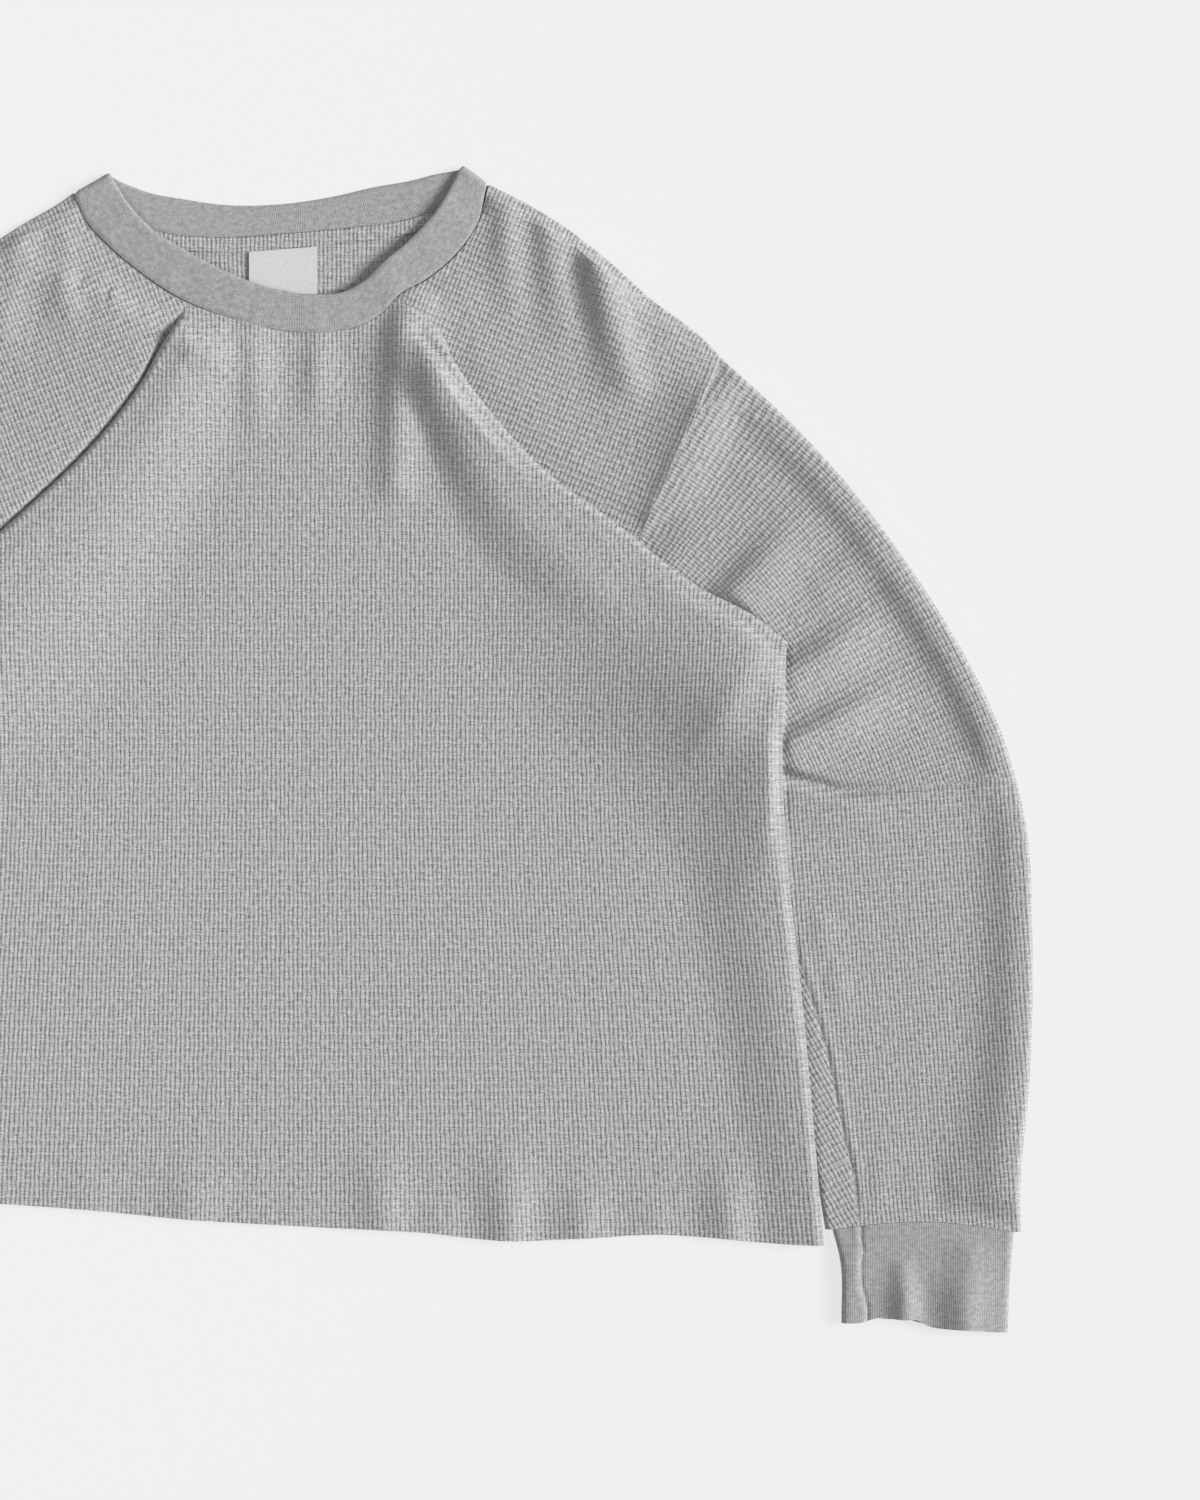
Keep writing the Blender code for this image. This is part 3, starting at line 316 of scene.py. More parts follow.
EDGE_ROLL = (  # along the sleeve's outer edge: height
    (0, 0.5), (35, 3.0), (90, 5.8), (215, 6.6), (262, 6.2), (292, 1.8), (330, 4.4), (450, 6.0), (540, 8.6),
)
EDGE_ROLL_WIDTHS = ((0, 10), (90, 11.5), (215, 11), (300, 9), (330, 14), (450, 17), (540, 26))
SLEEVE_END_HEIGHT = 4.9  # at the cuff's seam
LEAN = 5.4  # the shoulder part rises this much towards the fold on the wearer's right
HELD_AT_COLLAR = 0.5  # share of a fold's height that is left at the collar's seam
EASE_REACH = {-1: 14.0, 1: 34.0}  # the front comes off the back over this width beside a fold
CREASES_REACH = 8.5
SIDE_ROLL = (1.1, 3.6, 2.6)  # height, distance from the side edge and half-width
BODY_ABOVE_SLEEVE = 0.4
TUBE_EDGE = 3.2  # half-width of the rounded edge of a sleeve or cuff
SHARP_ANGLE = math.radians(44)
ZONES = ("body", "turn", "shoulder", "neck")  # of the sheet's knit grain

# Light and camera
SUN_FROM = (0.862, 0.05, 0.49)
SUN_STRENGTH = 4.3
SUN_SOFTNESS = 24.0
WORLD_STRENGTH = 0.27
FLOOR_TONE = 0.14
FLOOR_GLOW = 0.725
FILL_POWER = 3.0
FILL_AT = (-0.7, 0.1, 1.1)
FILL_SIZE = 0.8
FLOOR_REACH = 4.0
FLOOR_DROP = 0.3
SENSOR_HEIGHT = 24.0
CAMERA_HEIGHT = 5.0
PICTURE_HEIGHT = 0.84
PICTURE_CENTRE_X = 175.84
PICTURE_CENTRE_Y = -0.3


def smooth(low, high, value):
    """Rise from 0 at low to 1 at high without a corner."""
    t = np.clip((value - low) / (high - low), 0.0, 1.0)
    return t * t * (3 - 2 * t)


def unit(vectors):
    return vectors / np.maximum(np.linalg.norm(vectors, axis=-1, keepdims=True), 1e-12)


class Curve:
    """A smooth plan curve through a few points, read by the distance along it."""

    def __init__(self, knots, steps=CURVE_STEPS):
        knots = np.array(knots, float)
        at = np.concatenate([[0], np.cumsum(np.linalg.norm(np.diff(knots, axis=0), axis=1))])
        slopes = np.gradient(knots, at, axis=0)
        places = []
        for i in range(len(knots) - 1):
            t = np.linspace(0, 1, steps, endpoint=False)[:, None]
            span = at[i + 1] - at[i]
            places.append(
                (2 * t**3 - 3 * t**2 + 1) * knots[i]
                + (t**3 - 2 * t**2 + t) * span * slopes[i]
                + (3 * t**2 - 2 * t**3) * knots[i + 1]
                + (t**3 - t**2) * span * slopes[i + 1]
            )
        self.points = np.vstack(places + [knots[-1:]])
        spans = np.linalg.norm(np.diff(self.points, axis=0), axis=1)
        self.along = np.concatenate([[0], np.cumsum(spans)])
        self.length = self.along[-1]

    def at(self, distance):
        x = np.interp(distance, self.along, self.points[:, 0])
        y = np.interp(distance, self.along, self.points[:, 1])
        return np.stack([x, y], axis=-1)

    def direction(self, distance, reach=2.0):
        distance = np.asarray(distance, float)
        ahead = self.at(np.minimum(distance + reach, self.length))
        behind = self.at(np.maximum(distance - reach, 0))
        return unit(ahead - behind)

    def left_of(self, distance):
        """The unit normal on the left of the way along the curve."""
        way = self.direction(distance)
        return np.stack([-way[..., 1], way[..., 0]], axis=-1)

    def nearest(self, places):
        """Distance along to the nearest point, and the signed distance (+ on the left)."""
        if not hasattr(self, "tree"):
            self.tree = KDTree(len(self.points))
            for i, (x, y) in enumerate(self.points):
                self.tree.insert((x, y, 0), i)
            self.tree.balance()
        index = np.array([self.tree.find((x, y, 0))[1] for x, y in places])
        along = self.along[index]
        gap = places - self.points[index]
        side = (gap * self.left_of(along)).sum(-1)
        return along, np.copysign(np.linalg.norm(gap, axis=-1), side)

    def where_x(self, x):
        """Distance along at which the curve, which runs towards +X, crosses x."""
        return np.interp(x, self.points[:, 0], self.along)

    def moved(self, offset):
        """The same curve moved to its left."""
        return self.points + self.left_of(self.along) * offset


def plan_points(x, y):
    return np.stack([np.ravel(x), np.ravel(y)], axis=-1)


def on_line(line, value, axis):
    """The other coordinate of a line of points, where the one on this axis has the value."""
    line = sorted(line, key=lambda point: point[axis])
    return np.interp(value, [point[axis] for point in line], [point[1 - axis] for point in line])


def bell(distance, width):
    return np.exp(-((distance / width) ** 2))


def soft_ridges(x, y, rows):
    """Sum of soft ridges, each along a straight stretch of the plan."""
    total = np.zeros_like(x)
    for x0, y0, x1, y1, width, height in rows:
        run = np.array([x1 - x0, y1 - y0], float)
        t = np.clip(((x - x0) * run[0] + (y - y0) * run[1]) / (run @ run), 0, 1)
        away = np.hypot(x - x0 - t * run[0], y - y0 - t * run[1])
        total += height * np.exp(-((away / width) ** 2))
    return total


def creases(x, y, rows):
    """Sum of folds that are highest where they start and fade and widen along their way."""
    total = np.zeros_like(x)
    for x0, y0, x1, y1, left_width, right_width, height in rows:
        run = np.array([x1 - x0, y1 - y0], float)
        t = np.clip(((x - x0) * run[0] + (y - y0) * run[1]) / (run @ run), 0, 1)
        away = np.hypot(x - x0 - t * run[0], y - y0 - t * run[1])
        across = (run[0] * (y - y0) - run[1] * (x - x0)) / math.hypot(*run)
        on_left = 0.5 + 0.5 * across / np.maximum(away, 1e-6)
        width = (right_width + (left_width - right_width) * on_left) * (1 + 0.4 * t)
        total += height * (1 - 0.9 * smooth(0.3, 1, t)) * np.exp(-((away / width) ** 2))
    return total


def from_segment(x, y, segment):
    """Distance from a straight line through two plan points, + on the left of its way."""
    x0, y0, x1, y1 = segment
    length = math.hypot(x1 - x0, y1 - y0)
    return ((x1 - x0) * (y - y0) - (y1 - y0) * (x - x0)) / length


def armhole_crest(x, y):
    """The seam of the armhole lies along a soft crest."""
    away = from_segment(x, y, ARMHOLE)
    wave = 1 + 0.18 * np.sin(y * 0.11)
    width = np.where(away > 0, *ARMHOLE_CREST_WIDTHS)
    return ARMHOLE_CREST * wave * np.exp(-((away / width) ** 2))


def blend_edges(bottom, top, left, right, up):
    """A grid of plan points that fills four edge curves (rows from bottom to top)."""
    across = np.linspace(0, 1, len(bottom))[None, :, None]
    ruled = (1 - up) * bottom[None] + up * top[None]
    sides = (1 - across) * left[:, None] + across * right[:, None]
    corners = (
        (1 - up) * ((1 - across) * bottom[0] + across * bottom[-1])
        + up * ((1 - across) * top[0] + across * top[-1])
    )
    return ruled + sides - corners


class Half:
    """One half of the top, in plan coordinates mirrored to +X (hand is -1 or 1)."""

    def __init__(self, hand, neck_seam):
        self.hand = hand
        start = neck_seam.at(neck_seam.where_x(FOLD_STARTS[hand])) * (hand, 1)
        outline = Curve((tuple(start),) + FOLDS[hand])
        inset = FOLD_RADIUS + PAIR_OUTER
        ease_in = smooth(0, 60, outline.along)[:, None]
        self.fold = Curve((outline.points - outline.left_of(outline.along) * inset * ease_in)[::6])
        self.shoulder = Curve(Curve(SHOULDERS[hand]).moved(-WALL)[::8])
        self.inner = Curve(SLEEVE_INNER)
        self.armhole_foot = self.fold.nearest(np.array([SLEEVE_INNER[0]], float))[0][0]
        self.side = Curve(SIDE)

    def half_width(self, y):
        ys = self.side.points[::-1, 1]
        return np.interp(y, ys, self.side.points[::-1, 0]) - WALL

    def turn(self, s):
        """Angle through which the cloth turns at the fold, at distance s along it."""
        late = TURN_STARTS[self.hand]
        least = LEAST_TURN[0] + LEAST_TURN[1] * smooth(0, LEAST_TURN_OVER, s)
        return np.maximum(math.pi * smooth(late, TURN_GROWS_OVER[self.hand] + 2 * late, s), least)

    def under(self, s):
        """Width of cloth that lies folded under."""
        grown = UNDER_START + UNDER_PER_LENGTH * s
        fade = smooth(self.armhole_foot, self.fold.length, s)
        return grown + (UNDER_AT_UNDERARM - grown) * fade

    def rise(self, s):
        """Height of the body over the shoulder part, along the fold."""
        turn = self.turn(s)
        rise = 2 * FOLD_RADIUS * (1 - np.cos(turn)) + self.under(s) * np.sin(turn)
        beyond = smooth(self.armhole_foot - 20, self.armhole_foot, s)
        return rise + (STACK_LIFT - rise) * beyond

    def lift(self, x, y):
        """Height of the body above where it would lie with nothing beneath it."""
        shape = np.shape(x)
        places = plan_points(x, y)
        s, _ = self.fold.nearest(places)
        away = np.linalg.norm(places - self.fold.at(s), axis=-1)
        later = smooth(*SHELF_WIDENS, s)
        shelf = self.under(s) + SHELF_MARGINS[0] + SHELF_MARGINS[1] * later
        first, last = SHELF_FALLS[self.hand]
        fall = first + (last - first) * later
        sag = SHELF_SAG * smooth(0, shelf, away) * smooth(*SHELF_SAG_FROM_TO, s)
        over_fold = (self.rise(s) - sag) * (1 - smooth(shelf, shelf + fall, away))
        _, left = self.inner.nearest(places)
        height = SLEEVE_LIFT + (STACK_LIFT - SLEEVE_LIFT) * smooth(*STACK_LIFT_FROM_TO, places[:, 1])
        upper = smooth(*LIFT_WIDENS_FROM_TO, places[:, 1])
        starts = LIFT_ACROSS[0] - LIFT_WIDENS[0] * upper
        over_sleeve = height * smooth(starts, LIFT_ACROSS[1] + LIFT_WIDENS[1] * upper, left)
        beside = smooth(*SIDE_RISE_FROM_TO[:2], places[:, 1])
        beside = beside * (1 - smooth(*SIDE_RISE_FROM_TO[2:], places[:, 1]))
        across = np.clip((left - SIDE_RISE_START) / SIDE_RISE_WIDTH, 0, SIDE_RISE_LIMIT)
        over_sleeve = over_sleeve + SIDE_RISE * beside * across**2
        return np.maximum(over_fold, over_sleeve).reshape(shape)


NECK_FRONT = Curve(NECK_SEAM_FRONT)
HALVES = {hand: Half(hand, NECK_FRONT) for hand in (-1, 1)}
HEM_CURVE = Curve(HEM)


class Sheet:
    """The sheet midway between front and back: places, relief, knit grain and faces."""

    def __init__(self):
        self.places = []
        self.ease = []
        self.faces = []
        self.grains = []  # for each face, the zone whose grain it takes
        self.grain_at = {}  # (zone, point): (u, v)
        self.rounded = set()

    def add(self, place, ease=0.0):
        self.places.append(place)
        self.ease.append(ease)
        return len(self.places) - 1

    def fill(self, grid, zone):
        for lower, upper in zip(grid[:-1], grid[1:]):
            for i in range(len(lower) - 1):
                face = list(dict.fromkeys((lower[i], lower[i + 1], upper[i + 1], upper[i])))
                if len(face) > 2:
                    self.faces.append(face)
                    self.grains.append(zone)

    def offsets(self):
        """A step at each point that moves the faces around it out by about one."""
        places = np.array(self.places)
        corners = np.array([face + [face[-1]] * (4 - len(face)) for face in self.faces])
        a, b, c, d = (places[corners[:, k]] for k in range(4))
        normals = np.cross(c - a, d - b)
        units = unit(normals)
        total = np.zeros_like(places)
        for k in range(4):
            np.add.at(total, corners[:, k], units)
        mean = unit(total)
        least = np.zeros(len(places))
        count = np.zeros(len(places))
        for k in range(4):
            np.add.at(least, corners[:, k], (units * mean[corners[:, k]]).sum(-1))
            np.add.at(count, corners[:, k], 1)
        spread = np.clip(least / np.maximum(count, 1), 0.75, 1)
        return mean / spread[:, None]

    def edges_once(self):
        seen = {}
        for face in self.faces:
            for a, b in zip(face, face[1:] + face[:1]):
                if (b, a) in seen:
                    del seen[(b, a)]
                else:
                    seen[(a, b)] = True
        return list(seen)


def wall(name, sheet, outer, inner, keep_ease, flip=False):
    """A closed wall between two distances from the sheet, with rounded edges."""
    middle = np.array(sheet.places)
    steps = sheet.offsets()
    side = -1.0 if flip else 1.0
    outside = middle + side * steps * outer
    inside = middle + side * steps * inner
    if keep_ease:
        for layer in (outside, inside):
            layer[:, 2] += sheet.ease
    outside[:, 2] = np.maximum(outside[:, 2], 0)
    count = len(middle)
    vertices = list(outside) + list(inside)
    owner = list(range(count)) * 2
    faces = [list(face) for face in sheet.faces]
    faces += [[point + count for point in reversed(face)] for face in sheet.faces]
    grains = sheet.grains * 2
    border = sheet.edges_once()
    after = {a: b for a, b in border}
    before = {b: a for a, b in border}
    zone_of = {}
    for face, zone in zip(sheet.faces, sheet.grains):
        for point in face:
            zone_of.setdefault(point, zone)
    chains = {}
    for point in after:
        chain = [point]
        ahead, behind = after[point], before[point]
        if point in sheet.rounded and ahead not in sheet.rounded:
            ahead = point
        if point in sheet.rounded and behind not in sheet.rounded:
            behind = point
        way = unit(middle[ahead] - middle[behind])
        normal = unit(steps[point]) * side
        out = unit(np.cross(way, unit(steps[point])))
        reach = outer - inner
        for k in range(1, RIM_STEPS + 1):
            if point in sheet.rounded:
                angle = math.radians(84) * k / RIM_STEPS
                place = inside[point] + reach * (math.cos(angle) * normal + math.sin(angle) * out)
            else:
                angle = math.pi * k / (RIM_STEPS + 1)
                centre = (outside[point] + inside[point]) / 2
                place = centre + reach / 2 * (math.cos(angle) * normal + math.sin(angle) * out * 0.3)
            vertices.append(place)
            owner.append(point)
            chain.append(len(vertices) - 1)
        chain.append(point + count)
        chains[point] = chain
    for a, b in border:
        for k in range(len(chains[a]) - 1):
            faces.append([chains[b][k], chains[a][k], chains[a][k + 1], chains[b][k + 1]])
            grains.append(zone_of[a] if (zone_of[a], a) in sheet.grain_at else "body")
    if flip:
        faces = [face[::-1] for face in faces]
    piece = make_object(name, np.array(vertices), faces)
    grain = []
    for face, zone in zip(faces, grains):
        for corner in face:
            point = owner[corner]
            place = sheet.grain_at.get((zone, point))
            if place is None:
                place = next(sheet.grain_at[z, point] for z in ZONES if (z, point) in sheet.grain_at)
            grain.append(place)
    give_grain(piece, np.array(grain))
    return piece


def place(name, data):
    thing = bpy.data.objects.new(name, data)
    bpy.context.scene.collection.objects.link(thing)
    return thing


def set_inputs(node, values):
    for name, value in values.items():
        node.inputs[name].default_value = value


def make_object(name, vertices, faces):
    mesh = bpy.data.meshes.new(name)
    mesh.from_pydata([tuple(v) for v in np.asarray(vertices) * MM], [], faces)
    mesh.update()
    mesh.shade_smooth()
    mesh.set_sharp_from_angle(angle=SHARP_ANGLE)
    return place(name, mesh)


def give_grain(piece, grain):
    """Knit coordinates in mm, at each face corner, scaled to centimetres."""
    layer = piece.data.uv_layers.new(name="Grain")
    layer.data.foreach_set("uv", (np.asarray(grain, float) / 10).ravel())


def body_grain(half, x, y):
    return x * half.half_width(0.0) / half.half_width(y), y


def turned_grain(hand, x, y):
    """Grain of the shoulder part, which lies turned about the start of the fold."""
    cos, sin = math.cos(SHOULDER_TURN), math.sin(SHOULDER_TURN)
    dx, dy = x * hand - TURN_CENTRE[0], y - TURN_CENTRE[1]
    return (dx * cos - dy * sin + TURN_CENTRE[0]) * hand, dx * sin + dy * cos + TURN_CENTRE[1]


def body_columns():
    columns = []
    for hand in (-1, 1):
        half = HALVES[hand]
        foot = half.armhole_foot
        shares = np.linspace(0, 1, FOLD_COLUMNS + 1 - NEAR_COLUMNS)
        to_armhole = (foot - NEAR_ARMHOLE) * shares**COLUMN_CROWDING
        near = np.linspace(foot - NEAR_ARMHOLE, foot, NEAR_COLUMNS + 1)[1:]
        left_over = np.linspace(1, 0, UNDERARM_COLUMNS + 1)[1:] ** 1.5
        beyond = half.fold.length - (half.fold.length - foot) * left_over
        stops = np.concatenate([to_armhole, near, beyond])
        columns.append([(half.fold.at(s) * (hand, 1), s, hand) for s in stops])
    left, right = columns
    starts = [NECK_FRONT.where_x(left[0][0][0]), NECK_FRONT.where_x(right[0][0][0])]
    between = np.linspace(*starts, NECK_COLUMNS + 1)[1:-1]
    neck = [(NECK_FRONT.at(d), None, 1 if NECK_FRONT.at(d)[0] > 0 else -1) for d in between]
    return left[::-1] + neck + right


def column_rows(top, s, hand):
    half = HALVES[hand]
    if s is None:
        shelf, steepness = SHELF_MARGIN, 1.0
    else:
        shelf = float(half.under(s)) + SHELF_MARGIN
        slope = max(abs(half.fold.direction(s)[0]), 0.6)
        steepness = 1 + (slope - 1) * smooth(0, 45, s)
    marks = np.concatenate([
        np.linspace(0, shelf, SHELF_ROWS, endpoint=False),
        np.linspace(shelf, shelf + SHELF_FALL, SHELF_ROWS),
    ])
    upper = top[1] - marks / steepness
    width_here = half.half_width(upper[-1])
    hem_x = top[0] * half.half_width(HEM_CURVE.points[0 if hand < 0 else -1, 1]) / width_here
    hem_y = hem_at(hem_x)
    lower = np.linspace(upper[-1], hem_y + HEM_DEPTH + 3, BODY_ROWS + 1)[1:]
    hem = hem_y + np.array([HEM_DEPTH + row for row in STITCH_ROWS] + list(HEM_EDGE_ROWS))
    return np.concatenate([upper, lower, hem])


def hem_at(x):
    return np.interp(x, HEM_CURVE.points[:, 0], HEM_CURVE.points[:, 1])


def hem_relief(x, y):
    """The stitched line above the hem, and the doubled cloth below it."""
    above = y - hem_at(x)
    groove = -STITCH_GROOVE[0] * bell(above - HEM_DEPTH, STITCH_GROOVE[1])
    return groove + HEM_RAISE * (1 - smooth(HEM_DEPTH - 3, HEM_DEPTH - 0.5, above)) * smooth(0, 4, above)


def front_ease(half, x, y):
    """Height of the front above where it would lie flat on the back."""
    places = plan_points(x * half.hand, y)
    s, _ = half.fold.nearest(places)
    away = np.linalg.norm(places - half.fold.at(s), axis=-1).reshape(np.shape(x))
    to_side = half.half_width(y) - np.abs(x)
    by_neck = 1 - smooth(8, 40, s.reshape(np.shape(x)))
    by_side = smooth(0, 8, to_side)
    calm = np.maximum(smooth(0, EASE_REACH[half.hand], away), by_neck) * by_side
    folded = np.maximum(smooth(0, CREASES_REACH, away), by_neck) * by_side
    relief = FRONT_EASE * calm + (soft_ridges(x, y, FRONT_FOLDS) + creases(x, y, FRONT_CREASES)) * folded
    tall, inset, width = SIDE_ROLL
    roll = tall * bell(to_side - inset, width) * smooth(70, 40, y)
    return np.maximum(relief, 0) * by_collar(x, y) + hem_relief(x, y) + roll


def by_collar(x, y):
    """Folds are held down where the cloth is sewn to the collar."""
    shape = np.shape(x)
    _, away = NECK_FRONT.nearest(plan_points(x, y))
    return HELD_AT_COLLAR + (1 - HELD_AT_COLLAR) * smooth(0, 20, np.abs(away)).reshape(shape)


def seam_relief(x, y):
    """How far the folds of the front lift the collar's seam."""
    half = HALVES[1 if x > 0 else -1]
    x, y = np.array([x]), np.array([y])
    return float(np.maximum(front_ease(half, x, y) - FRONT_EASE - 0.5, 0)[0])


def turned_about(grid):
    """The grid's columns as rows."""
    return [list(row) for row in zip(*grid)]


def add_body(sheet):
    grid = []
    columns = body_columns()
    for top, s, hand in columns:
        half = HALVES[hand]
        y = column_rows(top, s, hand)
        x = top[0] * half.half_width(y) / half.half_width(y[0])
        z = PAIR_OUTER + half.lift(x * hand, y)
        if s is not None:
            z[0] = PAIR_OUTER + half.rise(s)
        ease = front_ease(half, x, y)
        u, v = body_grain(half, x, y)
        column = []
        for k in range(len(y)):
            point = sheet.add((x[k], y[k], z[k]), ease[k])
            sheet.grain_at["body", point] = (u[k], v[k])
            column.append(point)
        grid.append(column)
    for column in (grid[0], grid[-1]):
        sheet.rounded.update(column)
    rows = turned_about(grid)
    sheet.fill(rows[::-1], "body")
    return columns, rows[0]


def fold_profile(half, s):
    turn, under = float(half.turn(s)), float(half.under(s))
    height = PAIR_OUTER + float(half.rise(s))
    profile = []
    for k in range(1, TURN_STEPS + 1):
        angle = turn * k / TURN_STEPS
        profile.append((FOLD_RADIUS * math.sin(angle), height - FOLD_RADIUS * (1 - math.cos(angle))))
    out, height = profile[-1]
    for k in range(1, UNDER_STEPS + 1):
        run = under * k / UNDER_STEPS
        profile.append((out + run * math.cos(turn), height - run * math.sin(turn)))
    if s > half.armhole_foot + 1e-6:
        return profile
    out, height = profile[-1]
    for k in range(1, TURN_STEPS + 1):
        angle = turn * (1 - k / TURN_STEPS)
        profile.append((
            out + FOLD_RADIUS * (math.sin(turn) - math.sin(angle)),
            height - FOLD_RADIUS * (math.cos(angle) - math.cos(turn)),
        ))
    return profile


def add_shoulder(sheet, hand, stops, tops):
    half = HALVES[hand]
    full = 1 + 2 * TURN_STEPS + UNDER_STEPS
    strips = []
    for s, top in zip(stops, tops):
        base = half.fold.at(s)
        normal = half.fold.left_of(s)
        strip = [top]
        ease_here = sheet.ease[top]
        u, v = sheet.grain_at["body", top]
        sheet.grain_at["turn", top] = (u, v)
        if s == 0:
            strip *= full
        else:
            walked, last_place = 0.0, (0.0, PAIR_OUTER + float(half.rise(s)))
            for out, height in fold_profile(half, s):
                x, y = base + normal * out
                point = sheet.add((x * hand, y, height), ease_here)
                walked += math.dist(last_place, (out, height))
                last_place = (out, height)
                stretch = half.half_width(0.0) / half.half_width(y)
                across = u + normal[0] * hand * walked * stretch
                sheet.grain_at["turn", point] = (across, v + normal[1] * walked)
                strip.append(point)
        foot = strip[full - 1 if s <= half.armhole_foot + 1e-6 else -1]
        sheet.grain_at["shoulder", foot] = turned_grain(hand, *sheet.places[strip[-1]][:2])
        strips.append(strip)
    inner = strips[: FOLD_COLUMNS + 1]
    short = [strip[: 1 + TURN_STEPS + UNDER_STEPS] for strip in strips[FOLD_COLUMNS:]]
    turns = [strip[:full] for strip in inner]

    feet = np.array([sheet.places[strip[full - 1]][:2] for strip in inner]) * (hand, 1)
    share = np.array([s / half.armhole_foot for s in stops[: FOLD_COLUMNS + 1]])
    shoulder = half.shoulder.at(half.shoulder.length * share ** SHOULDER_CROWDING)
    seam_start = NECK_FRONT.where_x(feet[0][0] * hand)
    seam_end = NECK_FRONT.length if hand > 0 else 0.0
    climb = (np.linspace(0, 1, SHOULDER_ROWS + 1) ** ROW_CROWDING)[:, None]
    seam = NECK_FRONT.at(seam_start + (seam_end - seam_start) * climb[:, 0]) * (hand, 1)
    fade = 1 - climb
    seam = seam + (feet[0] - seam[0]) * fade + (shoulder[0] - seam[-1]) * (1 - fade)
    armhole = feet[-1] * (1 - climb) + shoulder[-1] * climb
    plan = blend_edges(feet, shoulder, seam, armhole, climb[:, :, None])
    foot_ease = np.array([sheet.ease[strip[full - 1]] for strip in inner])
    for row in range(1, SHOULDER_ROWS + 1):
        x, y = plan[row, :, 0], plan[row, :, 1]
        s_near, beyond = half.fold.nearest(plan[row])
        to_edge = np.linalg.norm(plan[row] - shoulder, axis=-1)
        clear = smooth(5, 20, beyond)
        calm = smooth(0, 6, to_edge)
        relief = FRONT_EASE + soft_ridges(x, y, SHOULDER_FOLDS) + creases(x, y, SHOULDER_CREASES[hand])
        crest = armhole_crest(x, y) * smooth(4, 60, beyond) * smooth(0, 30, to_edge)
        relief = relief * by_collar(x * hand, y)
        if hand < 0:
            relief = relief + LEAN * (1 - smooth(6, 105, beyond)) * smooth(0, 38, s_near)
            clear = smooth(1.6, 7.4, beyond)
        relief = np.maximum(relief + seam_allowance(x, y), 0) * clear
        ease = (relief + crest + foot_ease * (1 - clear)) * calm
        for i, strip in enumerate(inner):
            point = sheet.add((x[i] * hand, y[i], PAIR_OUTER), ease[i])
            sheet.grain_at["shoulder", point] = turned_grain(hand, x[i] * hand, y[i])
            strip.append(point)
    sheet.rounded.update(strip[-1] for strip in inner)
    edge = np.array([sheet.places[point][:2] for point in inner[-1][full - 1 :]]) * (hand, 1)
    tops = np.array([2 * PAIR_OUTER + sheet.ease[point] for point in inner[-1][full - 1 :]])
    half.armhole_heights = (edge[:, 1], tops)
    zones = [(turns, "turn"), ([strip[full - 1 :] for strip in inner], "shoulder"), (short, "turn")]
    for group, zone in zones:
        rows = turned_about(group)
        sheet.fill(rows if hand > 0 else [row[::-1] for row in rows], zone)
    return inner[0][full - 1 :]


def seam_allowance(x, y):
    """The turned edge under the shoulder part, which ends in a faint step beside the armhole."""
    away = from_segment(x, y, ARMHOLE)
    return 0.35 * (1 - smooth(4.6, 6.4, away)) + 0.45 * bell(away - 1.9, 1.5)


def make_pair_sheets():
    sheet = Sheet()
    columns, tops = add_body(sheet)
    last = FOLD_COLUMNS + UNDERARM_COLUMNS
    neck_edges = {}
    for hand in (-1, 1):
        if hand < 0:
            chosen, points = columns[: last + 1][::-1], tops[: last + 1][::-1]
        else:
            chosen, points = columns[-last - 1 :], tops[-last - 1 :]
        stops = [s for _, s, _ in chosen]
        neck_edges[hand] = add_shoulder(sheet, hand, stops, points)
    back = Sheet()
    back.places, back.ease = list(sheet.places), list(sheet.ease)
    back.faces, back.grains = list(sheet.faces), list(sheet.grains)
    back.grain_at, back.rounded = dict(sheet.grain_at), set(sheet.rounded)
    add_back_neck(back, tops[last + 1 : -last - 1], neck_edges)
    return sheet, back


def add_back_neck(sheet, neck_tops, neck_edges):
    lower = neck_edges[-1][::-1] + list(neck_tops) + neck_edges[1]
    curve = Curve(NECK_SEAM_BACK)
    xs = np.array([sheet.places[p][0] for p in lower])
    upper = curve.at(np.linspace(0, curve.length, len(lower)))
    upper = (upper + curve.at(curve.where_x(xs))) / 2
    upper[0] = sheet.places[lower[0]][:2]
    upper[-1] = sheet.places[lower[-1]][:2]
    rows = [lower]
    for point in lower:
        x, y, _ = sheet.places[point]
        sheet.grain_at["neck", point] = (x, y)
    for k in range(1, BACK_NECK_ROWS + 1):
        t = k / BACK_NECK_ROWS
        row = [lower[0]]
        for i in range(1, len(lower) - 1):
            x, y, z = sheet.places[lower[i]]
            place = (
                x * (1 - t) + upper[i][0] * t,
                y * (1 - t) + upper[i][1] * t,
                PAIR_OUTER + (z - PAIR_OUTER) * (1 - t) ** 2,
            )
            point = sheet.add(place)
            sheet.grain_at["neck", point] = place[:2]
            row.append(point)
        rows.append(row + [lower[-1]])
    sheet.fill(rows, "neck")


